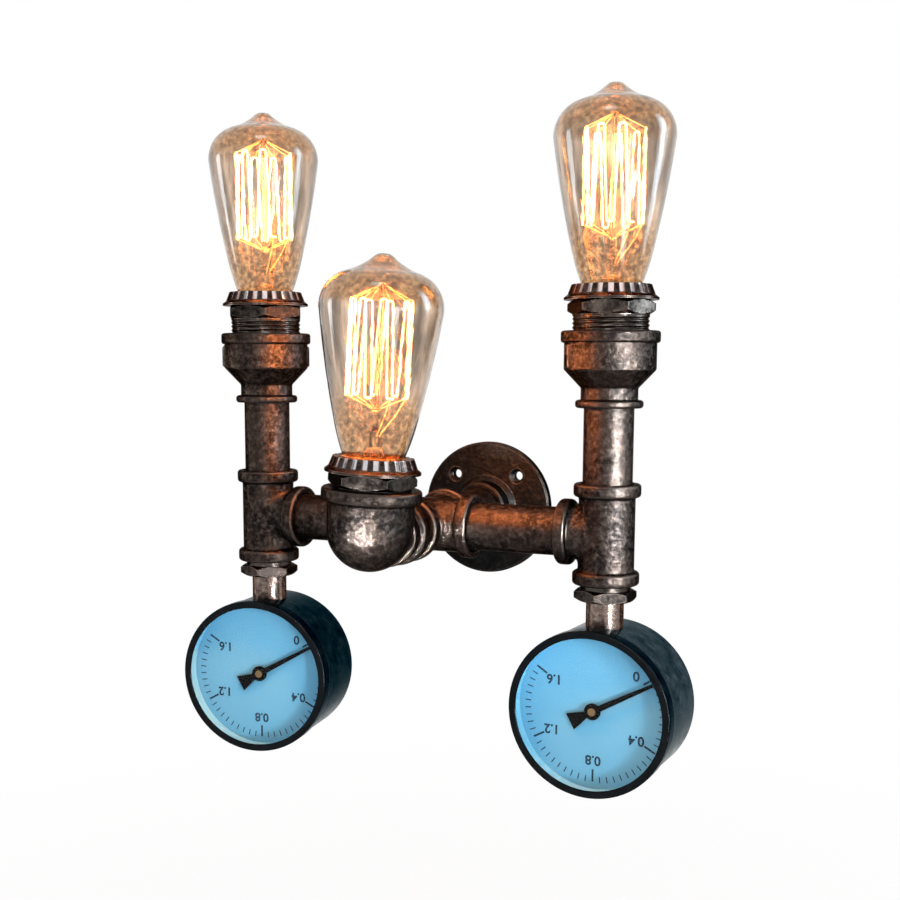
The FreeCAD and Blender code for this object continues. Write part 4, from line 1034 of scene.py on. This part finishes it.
case_line = softened([(0, CASE_DEPTH), (CASE_R, CASE_DEPTH), (CASE_R, CASE_START)], CASE_EDGE, 8)
case_inner = [(CASE_R - CASE_WALL, CASE_START), (CASE_R - CASE_WALL, CASE_DEPTH - CASE_EDGE),
              (CASE_R - CASE_EDGE, CASE_DEPTH - CASE_WALL), (0, CASE_DEPTH - CASE_WALL)]
bezel_line = softened([(BEZEL_OPENING_R + 0.5, BEZEL_LIP), (BEZEL_OPENING_R, 0.5),
                       (BEZEL_OPENING_R + 0.6, 0), (GAUGE_R - 0.1, 0), (GAUGE_R, 1.7),
                       (GAUGE_R, BEZEL_DEPTH), (CASE_R + BEZEL_GAP, BEZEL_DEPTH),
                       (CASE_R + BEZEL_GAP, BEZEL_LIP), (BEZEL_OPENING_R + 0.5, BEZEL_LIP)], 1.1, 5)
for side in SIDES:
    case_grid = turned_grid(np.concatenate([case_line, case_inner]), GAUGE_STEPS)
    case = surface("drum_" + side, [case_grid], gauge(side), crease=40)
    paint = enamel_material("enamel_case_" + side, CASE_ENAMEL_LIT_RIGHT[side], CASE_WEAR_LIT_RIGHT[side], side)
    finish_piece(case, paint, "gauge_black", "gauge_case_" + side)
    ring_grid = turned_grid(bezel_line[:-1], GAUGE_STEPS, closed=True)
    ring = surface("front_ring_" + side, [ring_grid], gauge(side), crease=50)
    paint = enamel_material("enamel_ring_" + side, RING_ENAMEL, RING_WORN)
    finish_piece(ring, paint, "gauge_black", "gauge_bezel_" + side)


# Dials
# Pale blue enamelled plates with printed scales, hung upside down as the gauges hang. The scale
# runs clockwise past five numbers, which are thin raised ink, as are its strokes.
DIAL_R, DIAL_HOLE_R, DIAL_DEPTH, DIAL_THICK, INK_HEIGHT = 43.75, 2.4, 11.5, 0.8, 0.06
SCALE_START, SCALE_STEP, MINOR_COUNT = math.radians(32.8), math.radians(61.4), 10
NUMBERS = ("0", "0.4", "0.8", "1.2", "1.6")
NUMBER_SIZE, NUMBER_WEIGHT, NUMBER_R, ZERO_PLACE = 7.4, 0.2, 27.7, (23.5, -22.0)
MAJOR_STROKE, MINOR_STROKE = (32.8, 39.8, 1.1), (36.9, 40.4, 0.6)
DIAL_BLUE, DIAL_SHADE = (0.093, 0.3, 0.465), (0.079, 0.275, 0.43)
INK, INK_THINNED = (0.005, 0.016, 0.028), 2.2


def enamel_blue():
    """Pale blue, slightly mottled, with a soft sheen."""
    material, tree = fresh_material("dial_blue")
    where = object_point(tree)
    tone = mixed(tree, noise(tree, where, 45.0, 3.0), DIAL_SHADE, DIAL_BLUE)
    rough = ramp(tree, noise(tree, where, 1500.0, 2.0), 0.3, 0.7, 0.6, 0.8)
    shaded(tree, {"Base Color": tone, "Roughness": rough, "Specular IOR Level": 0.2})
    return material


def ink_material():
    """Dark blue-grey ink, thinner where fine noise is high."""
    material, tree = fresh_material("dial_ink")
    thin = noise(tree, object_point(tree), 2200.0, 2.0)
    tone = mixed(tree, thin, INK, tuple(c * INK_THINNED for c in INK))
    shaded(tree, {"Base Color": tone, "Roughness": 0.6, "Specular IOR Level": 0.1})
    return material


def stroke_grids():
    """Scale strokes as thin bars: four corners from inner and outer radius and half a width, in
    front and behind."""
    grids = []
    for k in range(MINOR_COUNT * (len(NUMBERS) - 1) + 1):
        low, high, width = MAJOR_STROKE if k % MINOR_COUNT == 0 else MINOR_STROKE
        angle = -SCALE_START + SCALE_STEP * k / MINOR_COUNT
        out = np.array([math.cos(angle), math.sin(angle), 0])
        side = np.array([-math.sin(angle), math.cos(angle), 0]) * width / 2
        corners = np.array([out * low - side, out * high - side, out * high + side, out * low + side])
        front = corners + (0, 0, DIAL_DEPTH - INK_HEIGHT)
        back = corners + (0, 0, DIAL_DEPTH + INK_HEIGHT)
        faces = [(0, 3, 2, 1), (4, 5, 6, 7), (0, 1, 5, 4), (1, 2, 6, 5), (2, 3, 7, 6), (3, 0, 4, 7)]
        grids.append((np.concatenate([front, back]), np.array(faces)))
    return grids


def number_place(k):
    """On the scale's own circle, but for the nought, which stands clear of the pointer."""
    angle = -SCALE_START + SCALE_STEP * k
    return (NUMBER_R * math.cos(angle), NUMBER_R * math.sin(angle)) if k else ZERO_PLACE


def number_mesh(text, x, y, side):
    """A number as thin solid type, turned to face the front with its head towards the floor."""
    type_curve = bpy.data.curves.new("number", "FONT")
    type_curve.body = text
    type_curve.size = NUMBER_SIZE
    type_curve.extrude = INK_HEIGHT
    type_curve.offset = NUMBER_WEIGHT
    type_curve.align_x, type_curve.align_y = "CENTER", "CENTER"
    carrier = added("number", type_curve)
    bpy.context.view_layer.update()
    mesh = bpy.data.meshes.new_from_object(carrier.evaluated_get(bpy.context.evaluated_depsgraph_get()))
    bpy.data.objects.remove(carrier)
    mesh.transform(gauge(side) @ shift(x, y, DIAL_DEPTH) @ Matrix.Rotation(math.pi, 4, "Y"))
    mesh.transform(Matrix.Scale(MM, 4))
    return mesh


dial_blue, dial_ink = enamel_blue(), ink_material()
plate = [(DIAL_HOLE_R, DIAL_DEPTH), (DIAL_R, DIAL_DEPTH), (DIAL_R, DIAL_DEPTH + DIAL_THICK),
         (DIAL_HOLE_R, DIAL_DEPTH + DIAL_THICK)]
for side in SIDES:
    dial = surface("dial_" + side, [turned_grid(plate, closed=True)], gauge(side), crease=30)
    finish_piece(dial, dial_blue, "dial_paint", "gauge_dial_" + side)
    strokes = surface("strokes_" + side, stroke_grids(), gauge(side), crease=10)
    finish_piece(strokes, dial_ink, "pointer_paint")
    joined = bmesh.new()
    for k, text in enumerate(NUMBERS):
        mesh = number_mesh(text, *number_place(k), side)
        joined.from_mesh(mesh)
        bpy.data.meshes.remove(mesh)
    mesh = bpy.data.meshes.new("numbers_" + side)
    joined.to_mesh(mesh)
    joined.free()
    finish_piece(added("numbers_" + side, mesh), dial_ink, "pointer_paint")


# Windows, stems and movements
# Flat glass in front of each dial, a turned brass stem that screws into the bushing above, and
# the brass movement behind the dial.
WINDOW_TINT, WINDOW_BENDING = (0.97, 0.99, 1.0), 1.15
window_glass = clear_glass_material("window_glass", WINDOW_TINT, WINDOW_BENDING)
stem_copper = patina_metal("stem_metal", (0.05, 0.03, 0.025), (0.16, 0.115, 0.095), (0.7, 0.58, 0.52),
                           patch=90.0, scuffs=0.3, mottle=0.2, bump=0.2, dimple=0.6,
                           finish=(0.2, 0.34), edge="bevel")
for side in SIDES:
    dress("gauge_window_" + side, window_glass)
    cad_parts["gauge_window_" + side].visible_shadow = False
    dress("gauge_socket_" + side, stem_copper)
    dress("gauge_movement_" + side, rolled_brass)
    dress("gauge_bushing_" + side, machined)


# Pointers
# Blackened steel pointers with a flared tail, on brass-capped hubs.
POINTER_BLACK, HUB_BRASS, HUB_CAP_R, HUB_FRONT = (0.004, 0.004, 0.0045), (0.2, 0.14, 0.07), 2.2, 8.45


def pointer_material(side):
    """Black, with brass on the hub's raised cap."""
    material, tree = fresh_material("pointer_" + side)
    off, depth = about_axis(tree, gauge(side))
    near = calc(tree, "LESS_THAN", off, HUB_CAP_R * MM)
    fore = calc(tree, "LESS_THAN", depth, HUB_FRONT * MM)
    brass = calc(tree, "MULTIPLY", near, fore)
    scuff = noise(tree, object_point(tree), 700.0, 3.0)
    shaded(tree, {"Base Color": mixed(tree, brass, POINTER_BLACK, HUB_BRASS), "Metallic": 1.0,
                  "Roughness": ramp(tree, scuff, 0.3, 0.7, 0.35, 0.55),
                  "Specular Tint": colour(*SHADED_RIM)})
    return material


for side in SIDES:
    dress("gauge_pointer_" + side, pointer_material(side))
